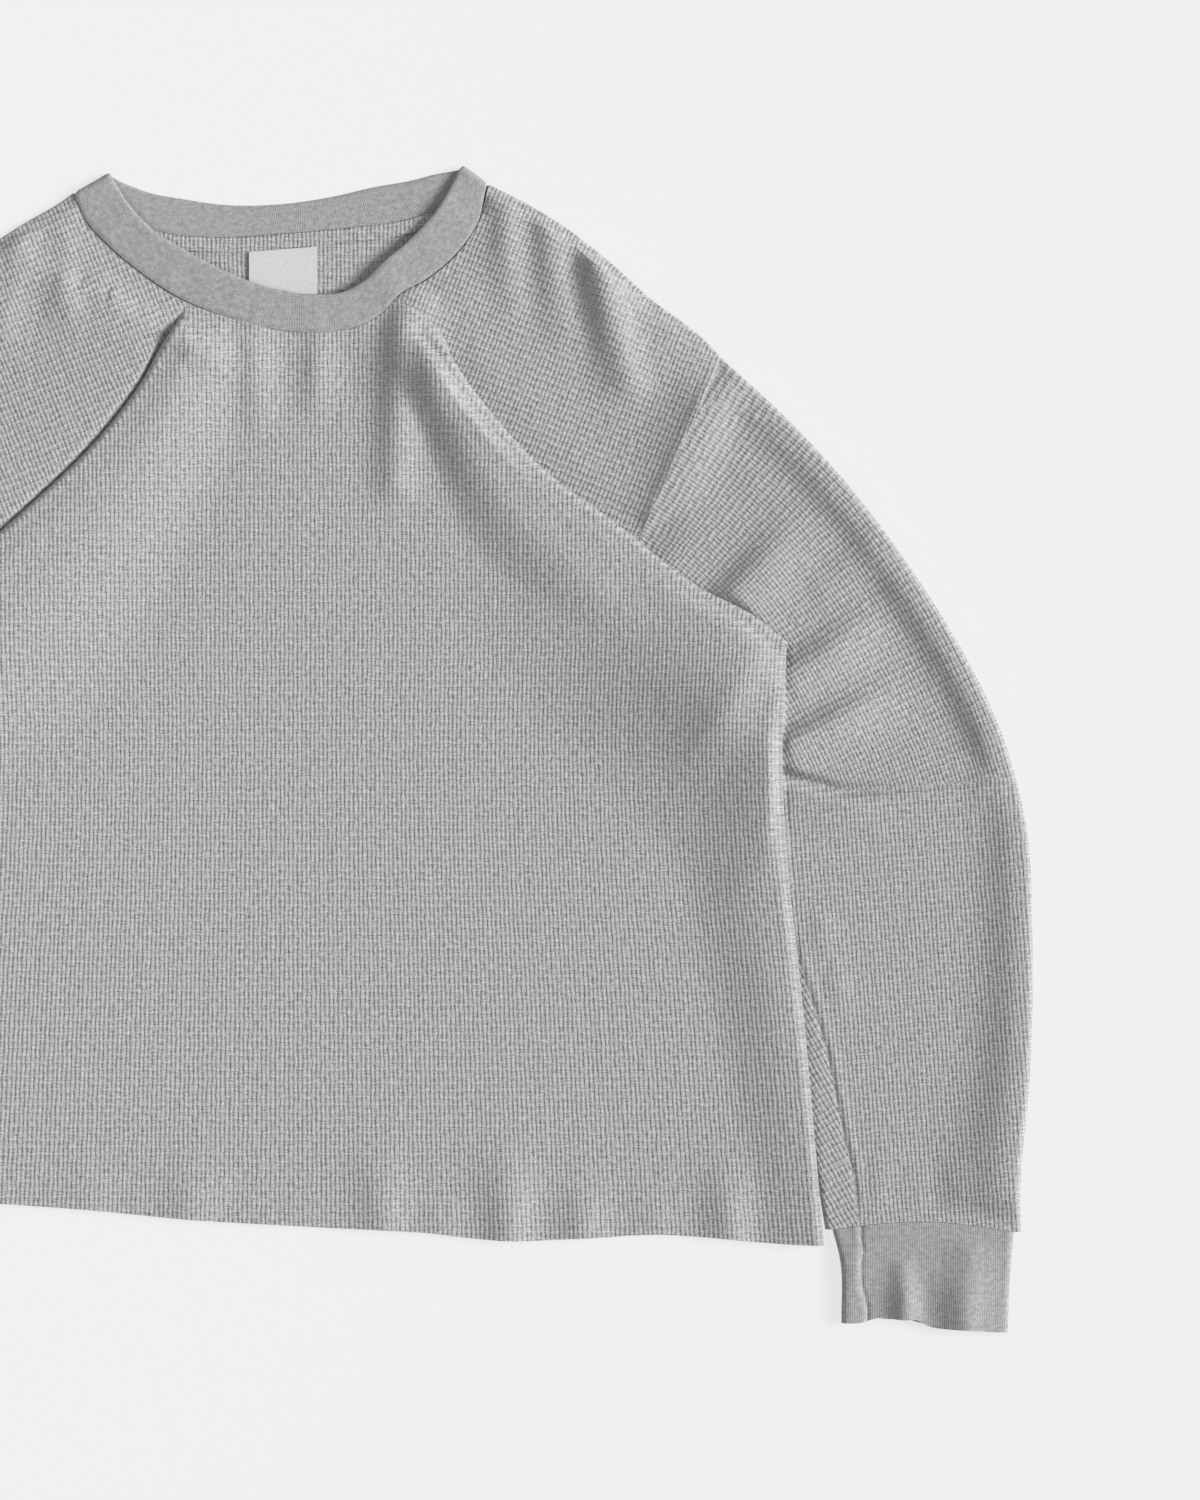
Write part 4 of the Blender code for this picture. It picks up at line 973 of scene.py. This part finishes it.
def sleeve_top(half, x, y):
    """Height of a sleeve's upper face: held up below the body, free and creased beside it."""
    places = np.stack([x, y], axis=-1)
    left = half.fold.nearest(places)[1]
    lift = half.lift(np.minimum(x, half.half_width(y)), y)
    by_side = y < half.side.points[0, 1]
    over_side = np.where(by_side, x - half.half_width(y) - WALL, left)
    past = np.maximum(over_side, 0)
    beyond = np.where(by_side, over_side, left - FOLD_RADIUS - PAIR_OUTER)
    free = np.where(by_side, smooth(-7, -1, over_side), smooth(-1, 3, over_side))
    flat = 2 * PAIR_OUTER
    fill = np.maximum(np.minimum(lift - TUCK_CLEARANCE, sleeve_room(half, places, left, over_side)), flat)
    held = (fill - flat) * np.exp(-past / SLEEVE_EASE) * (1 - 0.6 * smooth(-3, 0, beyond))
    folds = 1.2 + 3.2 * smooth(-70, -20, y) - 1.6 * smooth(10, 60, y) + creases(x, y, SLEEVE_CREASES)
    folds = np.maximum(folds + edge_roll(places), 0) * free
    to_edge = np.maximum(-SLEEVE_EDGE.nearest(places)[1], 0)
    crest = armhole_crest(x, y) * smooth(4, 60, past) * smooth(0, 30, to_edge)
    height = flat + (held**4 + folds**4) ** 0.25 + crest
    height = np.maximum(height + (elbow_trough(x, y) + underarm_seam(x, y)) * free, flat)
    height = height + (SLEEVE_END_HEIGHT - height) * (1 - smooth(-267, -250, y))
    beyond_seam = -from_segment(x, y, ARMHOLE)
    up_seam = y - beyond_seam * (ARMHOLE[2] - ARMHOLE[0]) / math.dist(ARMHOLE[:2], ARMHOLE[2:])
    height_at_seam = np.interp(up_seam, *half.armhole_heights)
    height = height + (height_at_seam - height) * (1 - smooth(0, 24, beyond_seam))
    return np.minimum(height, below_body(lift, left, by_side, beyond))


def sleeve_room(half, places, left, over_side):
    """Highest that a sleeve may reach below the folded-under cloth, and more past it."""
    y = places[:, 1]
    by_side = y < half.side.points[0, 1]
    s = half.fold.nearest(places)[0]
    under_fold = smooth(0, 24, np.maximum(-left, 0) - half.under(s) - 14)
    room = FOLD_CLEARANCE + (STACK_LIFT - FOLD_CLEARANCE) * under_fold + 12 * smooth(56, 40, y)
    clear = np.where(by_side, over_side + 2.4, left)
    return np.where(clear > 1.5, 2 * STACK_LIFT, room)


def below_body(lift, left, by_side, beyond):
    """The body's underside, which a sleeve stays below, and free air beyond its edge."""
    bend = FOLD_RADIUS + PAIR_OUTER
    under_bend = bend - np.sqrt(bend**2 - np.clip(left, 0, bend) ** 2)
    at_fold = FOLD_CLEARANCE + 0.8 + under_bend
    underside = np.where(by_side | (left <= 0), lift - BODY_ABOVE_SLEEVE, at_fold)
    return np.maximum(underside, 2 * PAIR_OUTER) + 0.12 * np.maximum(beyond, 0) + 12 * smooth(0, 10, beyond)


def elbow_trough(x, y):
    """A crease that runs out from the body's side: a soft fall above it, a sharp rise below."""
    above = y - on_line(ELBOW, x, 0)
    lip = on_line(ELBOW_LIP, x, 0) * bell(above + 6, 4)
    return lip - on_line(ELBOW_DEPTHS, x, 0) * bell(above, np.where(above > 0, 3.2, 3.4))


def underarm_seam(x, y):
    """A narrow groove along the seam, with a faint ridge of turned cloth on its left."""
    past = x - on_line(UNDERARM_SEAM, y, 1)
    return smooth(-86, -108, y) * (0.5 * bell(past - 3, 2.2) - 0.8 * bell(past, 1.0))


def edge_roll(places):
    """The pressed outer edge of the sleeve stands up in a soft roll."""
    along, left = SLEEVE_EDGE.nearest(places)
    past = np.maximum(-left - EDGE_ROLL_INSET, 0)
    return on_line(EDGE_ROLL, along, 0) * bell(past, on_line(EDGE_ROLL_WIDTHS, along, 0))


def tube_rings(inner_line, outer_line, height_at, wall_thickness, top_steps):
    rings = []
    for inner_end, outer_end in zip(inner_line, outer_line):
        run = outer_end - inner_end
        width = np.linalg.norm(run)
        way = run / width
        low = np.linspace(0, 1, SLEEVE_BOTTOM_STEPS + 1)
        top = np.linspace(1, 0, top_steps + 1)
        pair = []
        for inset in (0.0, wall_thickness):
            bulge = TUBE_EDGE - inset
            start, stop = inset + bulge, width - inset - bulge
            ring = [(*(inner_end + way * (start + (stop - start) * t)), inset) for t in low]
            tall = height_at(np.array([inner_end + way * start, inner_end + way * stop]))
            ring += edge_points(inner_end + way * stop, way, bulge, inset, tall[1] - inset, False)
            flat = np.array([inner_end + way * (start + (stop - start) * t) for t in top])
            ring += [(x, y, z - inset) for (x, y), z in zip(flat, height_at(flat))]
            ring += edge_points(inner_end + way * start, -way, bulge, inset, tall[0] - inset, True)
            pair.append(ring)
        rings.append(pair)
    return rings


def edge_points(centre, way, bulge, low, high, downward):
    points = []
    for k in range(1, EDGE_STEPS):
        angle = math.pi * k / EDGE_STEPS - math.pi / 2
        angle = -angle if downward else angle
        x, y = centre + way * bulge * math.cos(angle)
        points.append((x, y, (low + high) / 2 + (high - low) / 2 * math.sin(angle)))
    return points


def make_tube(name, rings, hand, grain_of):
    """A closed wall from the rings of a flattened tube, with its knit grain."""
    count = len(rings[0][0])
    vertices = np.array([point for pair in rings for ring in pair for point in ring])
    last = len(rings) - 1

    def index(section, layer, k):
        return (section * 2 + layer) * count + k % count

    faces = []
    for section in range(last):
        for k in range(count):
            for layer in (0, 1):
                face = [
                    index(section, layer, k), index(section, layer, k + 1),
                    index(section + 1, layer, k + 1), index(section + 1, layer, k),
                ]
                faces.append(face[::-1] if layer else face)
    for section in (0, last):
        for k in range(count):
            face = [
                index(section, 0, k), index(section, 1, k),
                index(section, 1, k + 1), index(section, 0, k + 1),
            ]
            faces.append(face if section == 0 else face[::-1])
    corners = np.array(faces)
    centres = vertices[corners].mean(1)[:, :2]
    grain = grain_of(vertices[corners.ravel()][:, :2], np.repeat(centres, 4, axis=0))
    vertices[:, 0] *= hand
    if hand < 0:
        faces = [face[::-1] for face in faces]
        grain = grain.reshape(-1, 4, 2)[:, ::-1].reshape(-1, 2)
    piece = make_object(name, vertices, faces)
    give_grain(piece, grain)
    return piece


def sleeve_lines(half):
    outer, inner = Curve(SLEEVE_OUTER), half.inner
    even = np.linspace(0, 1, 1000)
    more, at, width = ELBOW_CROWDING
    crowding = np.cumsum(1 + more * bell(even - at, width))
    share = np.interp(np.linspace(crowding[0], crowding[-1], SLEEVE_SECTIONS + 1), crowding, even)
    foot = half.fold.at(half.armhole_foot)
    foot = foot - half.fold.left_of(half.armhole_foot) * half.under(half.armhole_foot)
    inner_line = inner.at(share * inner.length)
    outer_line = outer.at(share * outer.length)
    shift = (1 - smooth(0, ARMHOLE_BLEND, share))[:, None]
    shoulder_end = half.shoulder.at(half.shoulder.length)
    along = unit(shoulder_end - foot)
    clear = np.array([along[1], -along[0]]) * ARMHOLE_GAP
    inner_line = inner_line + (foot - inner_line[0] + clear) * shift
    outer_line = outer_line + (shoulder_end + along * WALL - outer_line[0] + clear) * shift
    return inner_line, outer_line


SLEEVE_EDGE = Curve(SLEEVE_OUTER, steps=160)
GRAIN_LINE = Curve(SLEEVE_GRAIN_LINE, steps=160)


def sleeve_grain(places, centres):
    """Ribs run along the sleeve: beside its outer edge above the elbow, and straight below it."""
    along, left = GRAIN_LINE.nearest(places)
    across, down = SLEEVE_GRAIN_STRETCH
    upper = np.stack([left * across, -along * down], axis=-1)
    corner_along, corner_left = GRAIN_LINE.nearest(np.array([ELBOW[-1]], float))
    below = places - ELBOW[-1]
    lower = leaning(below, LOWER_SLEEVE_LEAN) + (corner_left[0] * across, -corner_along[0] * down)
    above_elbow = centres[:, 1] > on_line(ELBOW, centres[:, 0], 0)
    grain = np.where(above_elbow[:, None], upper, lower)
    inside_seam = centres[:, 0] < on_line(UNDERARM_SEAM, centres[:, 1], 1)
    in_wedge = inside_seam & (centres[:, 1] < UNDERARM_SEAM[0][1])
    return np.where(in_wedge[:, None], leaning(below, WEDGE_LEAN), grain)


def leaning(places, lean):
    """The plan points turned clockwise by an angle."""
    cos, sin = math.cos(lean), math.sin(lean)
    x, y = places.T
    return np.stack([x * cos + y * sin, -x * sin + y * cos], axis=-1)


def make_sleeve(name, hand):
    half = HALVES[hand]
    inner_line, outer_line = sleeve_lines(half)

    def height_at(places):
        return sleeve_top(half, places[:, 0], places[:, 1])

    def end_bow(section, t):
        return SLEEVE_END_BOW * smooth(0.8 * SLEEVE_SECTIONS, SLEEVE_SECTIONS, section) * arch(t)

    rings = tube_rings(inner_line, outer_line, height_at, WALL, SLEEVE_TOP_STEPS)
    ends = [(pair[0][0][0], pair[0][SLEEVE_BOTTOM_STEPS][0]) for pair in rings]
    return make_tube(name, shifted(rings, ends, end_bow), hand, sleeve_grain)


def arch(t):
    """0 at both ends of a width, 1 in its middle."""
    return math.sin(math.pi * min(max(t, 0), 1))


def shifted(rings, ends, shift):
    """A tube's rings, each point moved along y by its section and its share across the tube."""
    moved = []
    for section, (pair, (low, high)) in enumerate(zip(rings, ends)):
        moved.append([
            [(x, y + shift(section, (x - low) / (high - low)), z) for x, y, z in ring] for ring in pair
        ])
    return moved


def cuff_seam(x, y):
    """The seam that closes the cuff, pressed to one side."""
    past = x - on_line(CUFF_SEAM, y, 1)
    return 0.5 * bell(past + 3, 2.2) - bell(past, 1.0)


def make_cuff(name, hand):
    outer, inner = Curve(CUFF_OUTER), Curve(CUFF_INNER)
    share = np.linspace(0, 1, CUFF_SECTIONS + 1)
    inner_line, outer_line = inner.at(share * inner.length), outer.at(share * outer.length)

    def height_at(places):
        x, y = places[:, 0], places[:, 1]
        start = smooth(-272, -284, y)
        ridges = soft_ridges(x, y, CUFF_FOLDS) + creases(x, y, CUFF_CREASES)
        edge = -0.7 * smooth(-276, -270, y)
        return 2 * RIB_WALL + CUFF_LOFT + np.maximum(ridges, -CUFF_LOFT) * start + edge + cuff_seam(x, y)

    def end_shift(section, t):
        by_seam = 1 - share[section]
        wave = sum(up * bell(t - at, width) for at, up, width in CUFF_EDGE_WAVES)
        return (SLEEVE_END_BOW * arch(t) + CUFF_SEAM_CLOSE) * by_seam + wave * share[section] ** 2

    rings = tube_rings(inner_line, outer_line, height_at, CUFF_WALL, SLEEVE_TOP_STEPS)
    ends = list(zip(inner_line[:, 0], outer_line[:, 0]))
    return make_tube(name, shifted(rings, ends, end_shift), hand, lambda places, centres: places)


def band_stations():
    seam_front, edge_front = Curve(NECK_SEAM_FRONT), Curve(NECK_EDGE_FRONT)
    seam_back, edge_back = Curve(NECK_SEAM_BACK), Curve(NECK_EDGE_BACK)
    radius = (BAND_SHOULDER - BAND_BACK) / 2
    inset = radius + RIB_WALL / 2
    stations = []
    for t in np.linspace(0, 1, BAND_FRONT_SECTIONS + 1):
        calm = smooth(0, SHOULDER_BLEND, t) * smooth(0, SHOULDER_BLEND, 1 - t)
        seam = seam_front.at(t * seam_front.length)
        raised = seam_relief(*seam) * calm
        tilt = smooth(0.60, 0.76, t) * smooth(1.0, 0.88, t)
        stations.append([
            seam, edge_front.at(t * edge_front.length),
            BAND_SHOULDER + (BAND_SEAM_FRONT - BAND_SHOULDER) * calm + raised + BAND_TILT[0] * tilt,
            BAND_SHOULDER + (BAND_EDGE_FRONT - BAND_SHOULDER) * calm + raised * 0.3 + BAND_TILT[1] * tilt,
        ])
    stations = inset_ends(stations, inset)
    back = []
    for t in np.linspace(1, 0, BAND_BACK_SECTIONS + 1):
        back.append([
            seam_back.at(t * seam_back.length), edge_back.at(t * edge_back.length),
            BAND_BACK, BAND_BACK,
        ])
    back = inset_ends(back, inset, BAND_BACK_TUCK)
    turns = {}
    for hand, (front_end, back_end) in ((1, (stations[-1], back[0])), (-1, (stations[0], back[-1]))):
        line = unit(front_end[1] - front_end[0])
        outward = np.array([line[1], -line[0]]) * (1 if hand > 0 else -1)
        turn = []
        for k in range(1, BAND_TURN_SECTIONS):
            angle = math.pi * k / BAND_TURN_SECTIONS
            t = k / BAND_TURN_SECTIONS
            out = outward * radius * math.sin(angle)
            z = BAND_BACK + radius * (1 + math.cos(angle))
            turn.append([
                front_end[0] * (1 - t) + back_end[0] * t + out,
                front_end[1] * (1 - t) + back_end[1] * t + out,
                z, z,
            ])
        turns[hand] = turn
    return stations + turns[1] + back + turns[-1][::-1]


def inset_ends(stations, inset, narrower=0.0):
    count = len(stations) - 1
    moved = []
    for k, (seam, edge, low, high) in enumerate(stations):
        share = min(k, count - k) / count
        pull = 1 - smooth(0, 0.1, share)
        end = stations[0] if k < count / 2 else stations[-1]
        line = unit(end[1] - end[0])
        inward = np.array([line[1], -line[0]])
        inward = inward * np.sign(inward @ (stations[count // 2][0] - end[0]))
        shift = inward * inset * pull
        clear = unit(edge - seam) * narrower * pull
        moved.append([seam + shift + clear, edge + shift, low, high])
    return moved


def band_profile():
    """Round the band's section: (share across, share of the half wall off the middle), for one face."""
    rows = []
    across = np.concatenate([[0.0, 0.012, 0.035, 0.07], np.linspace(0.13, 0.93, 13), [0.965, 0.99]])
    for t in across:
        round_off = 1 - 0.4 * (1 - smooth(0.0, 0.07, t)) - 0.6 * smooth(0.93, 1.0, t)
        rows.append((t, round_off))
    return rows


def make_collar():
    stations = band_stations()
    count = len(stations)
    seams = np.array([(*seam, low) for seam, _, low, _ in stations])
    edges = np.array([(*edge, high) for _, edge, _, high in stations])
    across = unit(edges - seams)
    seams = seams + across * BAND_SEAM_TIGHT
    middles = (seams + edges) / 2
    ways = unit(np.roll(middles, -1, axis=0) - np.roll(middles, 1, axis=0))
    normals = unit(np.cross(ways, across))
    half = RIB_WALL / 2
    widths = np.linalg.norm(edges - seams, axis=1)
    steps = np.linalg.norm(middles - np.roll(middles, 1, axis=0), axis=1)
    walked = np.cumsum(steps)
    profile = band_profile()
    rows = [(t, r * half) for t, r in profile] + [(1.0, 0.0)] + [(t, -r * half) for t, r in profile[::-1]]
    rings, grain = [], []
    for k in range(count):
        ripple = band_ripple(walked[k])
        ring = []
        for t, out in rows:
            lift = ripple * arch(t) if out > 0 else 0.0
            ring.append(seams[k] + across[k] * widths[k] * t + normals[k] * (out + lift))
        rings.append(ring)
    size = len(rows)
    vertices = np.array([point for ring in rings for point in ring])
    faces = []
    for k in range(count):
        following = (k + 1) % count
        for j in range(size):
            after = (j + 1) % size
            faces.append([
                k * size + j, following * size + j, following * size + after, k * size + after
            ])
            high = walked[k] + steps[following]
            for station, row in ((walked[k], j), (high, j), (high, j + 1), (walked[k], j + 1)):
                grain.append((station, rows[row % size][0] * BAND_WIDTH))
    piece = make_object("cloth_collar", vertices, faces)
    give_grain(piece, grain)
    return piece


def band_ripple(walked):
    return 0.22 * math.sin(walked * 0.11) * math.sin(walked * 0.037 + 1.0) + 0.12 * math.sin(walked * 0.31)


def make_strip(name, lower, upper, bottom, thickness):
    """A thin closed strip between two plan lines, slightly rounded at its edges."""
    count = len(lower)
    across = np.array([0, 0.03, 0.1, 0.3, 0.5, 0.7, 0.9, 0.97, 1.0])
    tall = np.array([0.55, 0.85, 1, 1, 1, 1, 1, 0.85, 0.55])
    vertices = []
    for layer in (0, 1):
        for t, h in zip(across, tall):
            for k in range(count):
                x, y = lower[k] * (1 - t) + upper[k] * t
                vertices.append((x, y, bottom + layer * thickness * h))
    width = len(across)

    def index(layer, j, k):
        return (layer * width + j) * count + k

    faces = []
    for k in range(count - 1):
        for j in range(width - 1):
            faces.append([index(1, j, k), index(1, j, k + 1), index(1, j + 1, k + 1), index(1, j + 1, k)])
            faces.append([index(0, j, k), index(0, j + 1, k), index(0, j + 1, k + 1), index(0, j, k + 1)])
        faces.append([index(0, 0, k), index(0, 0, k + 1), index(1, 0, k + 1), index(1, 0, k)])
        top = width - 1
        faces.append([index(0, top, k), index(1, top, k), index(1, top, k + 1), index(0, top, k + 1)])
    for k in (0, count - 1):
        for j in range(width - 1):
            face = [index(0, j, k), index(1, j, k), index(1, j + 1, k), index(0, j + 1, k)]
            faces.append(face if k == 0 else face[::-1])
    piece = make_object(name, vertices, faces)
    give_grain(piece, [vertices[corner][:2] for face in faces for corner in face])
    return piece


def make_neck_tape():
    seam = Curve(NECK_SEAM_BACK)
    span = np.linspace(seam.where_x(-TAPE_HALF_SPAN), seam.where_x(TAPE_HALF_SPAN), 90)
    normal = seam.left_of(span)
    upper = seam.at(span) - normal * TAPE_INSET
    lower = upper - normal * TAPE_WIDTH
    return make_strip("cloth_neck_tape", lower, upper, TRIM_HEIGHT, TAPE_WALL)


def make_label():
    seam = Curve(NECK_SEAM_BACK)
    width, tall = LABEL_SIZE
    xs = LABEL_CENTRE_X + np.linspace(-width / 2, width / 2, 24)
    top = seam.at(seam.where_x(xs))[:, 1] - TAPE_WIDTH - LABEL_BELOW_TAPE
    upper = np.stack([xs, top], axis=-1)
    lower = upper - (0, tall)
    return make_strip("cloth_label", lower, upper, TRIM_HEIGHT, LABEL_WALL)


class Nodes:
    """Short names for building a material's nodes."""

    def __init__(self, name):
        self.material = bpy.data.materials.new(name)
        self.material.use_nodes = True
        self.tree = self.material.node_tree
        self.shader = self.tree.nodes["Principled BSDF"]

    def node(self, kind, **settings):
        node = self.tree.nodes.new(kind)
        for key, value in settings.items():
            setattr(node, key, value)
        return node

    def put(self, socket, value):
        if hasattr(value, "is_output"):
            self.tree.links.new(value, socket)
        else:
            socket.default_value = value

    def math(self, operation, a, b=0.0, c=0.0, clamp=False):
        node = self.node("ShaderNodeMath", operation=operation, use_clamp=clamp)
        for socket, value in zip(node.inputs, (a, b, c)):
            self.put(socket, value)
        return node.outputs[0]

    def add(self, a, b, clamp=False):
        return self.math("ADD", a, b, clamp=clamp)

    def times(self, a, b):
        return self.math("MULTIPLY", a, b)

    def swing(self, noise, size):
        """A noise as a value that swings about 0."""
        return self.times(self.math("SUBTRACT", noise, 0.5), size)

    def wave(self, value, pitch):
        return self.math("COSINE", self.times(value, 2 * math.pi / pitch))

    def ramp(self, value, low, high, to_low=0.0, to_high=1.0):
        node = self.node("ShaderNodeMapRange", interpolation_type="SMOOTHSTEP")
        names = ("Value", "From Min", "From Max", "To Min", "To Max")
        for name, given in zip(names, (value, low, high, to_low, to_high)):
            self.put(node.inputs[name], given)
        return node.outputs["Result"]

    def grain(self):
        uv = self.node("ShaderNodeUVMap", uv_map="Grain")
        split = self.node("ShaderNodeSeparateXYZ")
        self.tree.links.new(uv.outputs[0], split.inputs[0])
        return self.times(split.outputs[0], 10.0), self.times(split.outputs[1], 10.0)

    def noise(self, u, v, u_scale, v_scale, detail=2.0, w=0.0):
        join = self.node("ShaderNodeCombineXYZ")
        self.put(join.inputs[0], self.times(u, u_scale))
        self.put(join.inputs[1], self.times(v, v_scale))
        self.put(join.inputs[2], w)
        noise = self.node("ShaderNodeTexNoise")
        self.tree.links.new(join.outputs[0], noise.inputs["Vector"])
        set_inputs(noise, {"Scale": 1.0, "Detail": detail})
        return noise.outputs[0]

    def bump(self, height, strength, distance):
        node = self.node("ShaderNodeBump")
        set_inputs(node, {"Strength": strength, "Distance": distance})
        self.tree.links.new(height, node.inputs["Height"])
        self.tree.links.new(node.outputs[0], self.shader.inputs["Normal"])

    def colour(self, dark, light, factor):
        node = self.node("ShaderNodeMix", data_type="RGBA")
        node.inputs[6].default_value = dark
        node.inputs[7].default_value = light
        self.put(node.inputs[0], factor)
        self.tree.links.new(node.outputs[2], self.shader.inputs["Base Color"])


def waffle_material(name):
    """Raised ribs along v with rows of small pits between them, in heathered cotton, with painted shade in
    the pits and between the ribs.
    """
    n = Nodes(name)
    u, v = n.grain()
    stray_u = n.swing(n.noise(u, v, 0.16, 0.10, 1.0, 3.0), 1.3)
    stray_v = n.swing(n.noise(u, v, 0.12, 0.12, 1.0, 7.0), 2.6)
    rib = n.wave(n.math("DIVIDE", n.add(u, stray_u), RIB_PITCH), 1)
    bar = n.wave(n.math("DIVIDE", n.add(v, stray_v), PIT_PITCH), 1)
    uneven = n.ramp(n.noise(u, v, 0.42, 0.26, 2.0, 11.0), 0.3, 0.7, 0.35, 1.5)
    between = n.times(n.ramp(rib, 0.8, -0.9), uneven)
    in_row = n.ramp(bar, 0.85, -0.6)
    # painted shade: the rows of pits and the grooves between the ribs are darkened in colour, as well as
    # sunk by the bump
    painted_recess_shade = n.add(n.times(in_row, 0.11), n.times(between, 0.10))
    streak = n.noise(u, v, 0.22, 1.6, 3.0, 19.0)
    fleck = n.noise(u, v, 1.3, 1.9, 2.0, 29.0)
    tone = n.add(n.swing(streak, 1.5), n.swing(fleck, 1.5))
    n.colour(DARK_HEATHER, LIGHT_HEATHER, n.math("SUBTRACT", n.add(WAFFLE_TONE, tone), painted_recess_shade, clamp=True))
    depth = n.add(n.times(between, RIB_DEPTH), n.times(in_row, BAR_DEPTH))
    depth = n.add(depth, n.times(n.times(between, in_row), PIT_DEPTH))
    n.bump(n.math("SUBTRACT", n.times(fleck, FLECK_HEIGHT), depth), 1.0, MM)
    finish_cloth(n)
    return n.material


def rib_material(name):
    """Fine rib: thin lines along v in mottled heather."""
    n = Nodes(name)
    u, v = n.grain()
    line = n.wave(n.add(u, n.swing(n.noise(u, v, 0.3, 0.1, 1.0, 2.0), 0.6)), FINE_RIB_PITCH)
    mottle = n.noise(u, v, 0.30, 0.42, 3.0, 5.0)
    fleck = n.noise(u, v, 1.6, 1.6, 2.0, 9.0)
    tone = n.add(n.swing(mottle, 0.7), n.swing(fleck, 1.1))
    n.colour(DARK_HEATHER, LIGHT_RIB, n.add(n.add(RIB_TONE, tone), n.times(line, 0.05), clamp=True))
    height = n.add(n.times(line, 0.25), n.times(fleck, 0.5))
    n.bump(n.add(height, n.times(n.wave(v, STITCH_PITCH), 0.08)), 0.45, 0.0004)
    finish_cloth(n)
    return n.material


def label_material(name):
    """Close white weave, bare."""
    n = Nodes(name)
    u, v = n.grain()
    n.colour((0.55, 0.55, 0.55, 1), (0.72, 0.72, 0.72, 1), n.noise(u, v, 0.6, 0.6, 2.0, 4.0))
    n.bump(n.times(n.wave(u, WEAVE_PITCHES[0]), n.wave(v, WEAVE_PITCHES[1])), 0.3, 0.0002)
    finish_cloth(n)
    return n.material


def finish_cloth(n):
    set_inputs(n.shader, {
        "Roughness": 0.95, "Specular IOR Level": 0.12, "Sheen Weight": 0.12, "Sheen Roughness": 0.5,
    })


def dress(piece, node, material):
    piece.data.materials.append(material)
    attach(piece, "root")
    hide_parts(node)


def make_floor():
    mesh = bpy.data.meshes.new("floor")
    corners = ((-1, -1), (1, -1), (1, 1), (-1, 1))
    mesh.from_pydata([(x * FLOOR_REACH, y * FLOOR_REACH, 0) for x, y in corners], [], [(0, 1, 2, 3)])
    floor = place("floor", mesh)
    floor.location.z = -FLOOR_DROP * MM
    material = bpy.data.materials.new("floor_paper")
    material.use_nodes = True
    set_inputs(material.node_tree.nodes["Principled BSDF"], {
        "Base Color": (FLOOR_TONE, FLOOR_TONE, FLOOR_TONE, 1), "Roughness": 1.0, "Specular IOR Level": 0.0,
        "Emission Color": (1, 1, 1, 1), "Emission Strength": FLOOR_GLOW,
    })
    mesh.materials.append(material)
    return floor


def make_light_and_camera():
    scene = bpy.context.scene
    world = bpy.data.worlds.new("studio")
    world.use_nodes = True
    set_inputs(world.node_tree.nodes["Background"], {"Color": (1, 1, 1, 1), "Strength": WORLD_STRENGTH})
    scene.world = world
    sun = bpy.data.lights.new("key", "SUN")
    sun.energy = SUN_STRENGTH
    sun.angle = math.radians(SUN_SOFTNESS)
    place("key", sun).rotation_euler = Vector(SUN_FROM).to_track_quat("Z", "Y").to_euler()
    panel = bpy.data.lights.new("fill", "AREA")
    panel.energy = FILL_POWER
    panel.size = FILL_SIZE
    fill = place("fill", panel)
    fill.location = FILL_AT
    fill.rotation_euler = Vector(FILL_AT).to_track_quat("Z", "Y").to_euler()
    lens = bpy.data.cameras.new("camera")
    lens.sensor_fit = "VERTICAL"
    lens.sensor_height = SENSOR_HEIGHT
    lens.lens = SENSOR_HEIGHT * CAMERA_HEIGHT / PICTURE_HEIGHT
    lens.clip_end = 50
    camera = place("camera", lens)
    camera.location = (PICTURE_CENTRE_X * MM, PICTURE_CENTRE_Y * MM, CAMERA_HEIGHT)
    scene.camera = camera
    scene.view_settings.view_transform = "Standard"


def main():
    front_sheet, back_sheet = make_pair_sheets()
    floor = make_floor()
    waffle = waffle_material("waffle_knit_look")
    rib = rib_material("rib_knit_look")
    white = label_material("label_look")
    front = wall("cloth_front", front_sheet, PAIR_OUTER, PAIR_INNER, keep_ease=True)
    back = wall("cloth_back", back_sheet, PAIR_OUTER, PAIR_INNER, keep_ease=False, flip=True)
    left, right = make_sleeve("cloth_sleeve_left", 1), make_sleeve("cloth_sleeve_right", -1)
    collar = make_collar()
    cuffs = [make_cuff("cloth_cuff_left", 1), make_cuff("cloth_cuff_right", -1)]
    tape, label = make_neck_tape(), make_label()
    dress(back, "back", waffle)
    dress(front, "front", waffle)
    dress(left, "sleeve_left", waffle)
    dress(right, "sleeve_right", waffle)
    dress(collar, "collar", rib)
    dress(cuffs[0], "cuff_left", rib)
    dress(cuffs[1], "cuff_right", rib)
    dress(tape, "neck_tape", waffle)
    dress(label, "label", white)
    make_light_and_camera()


main()
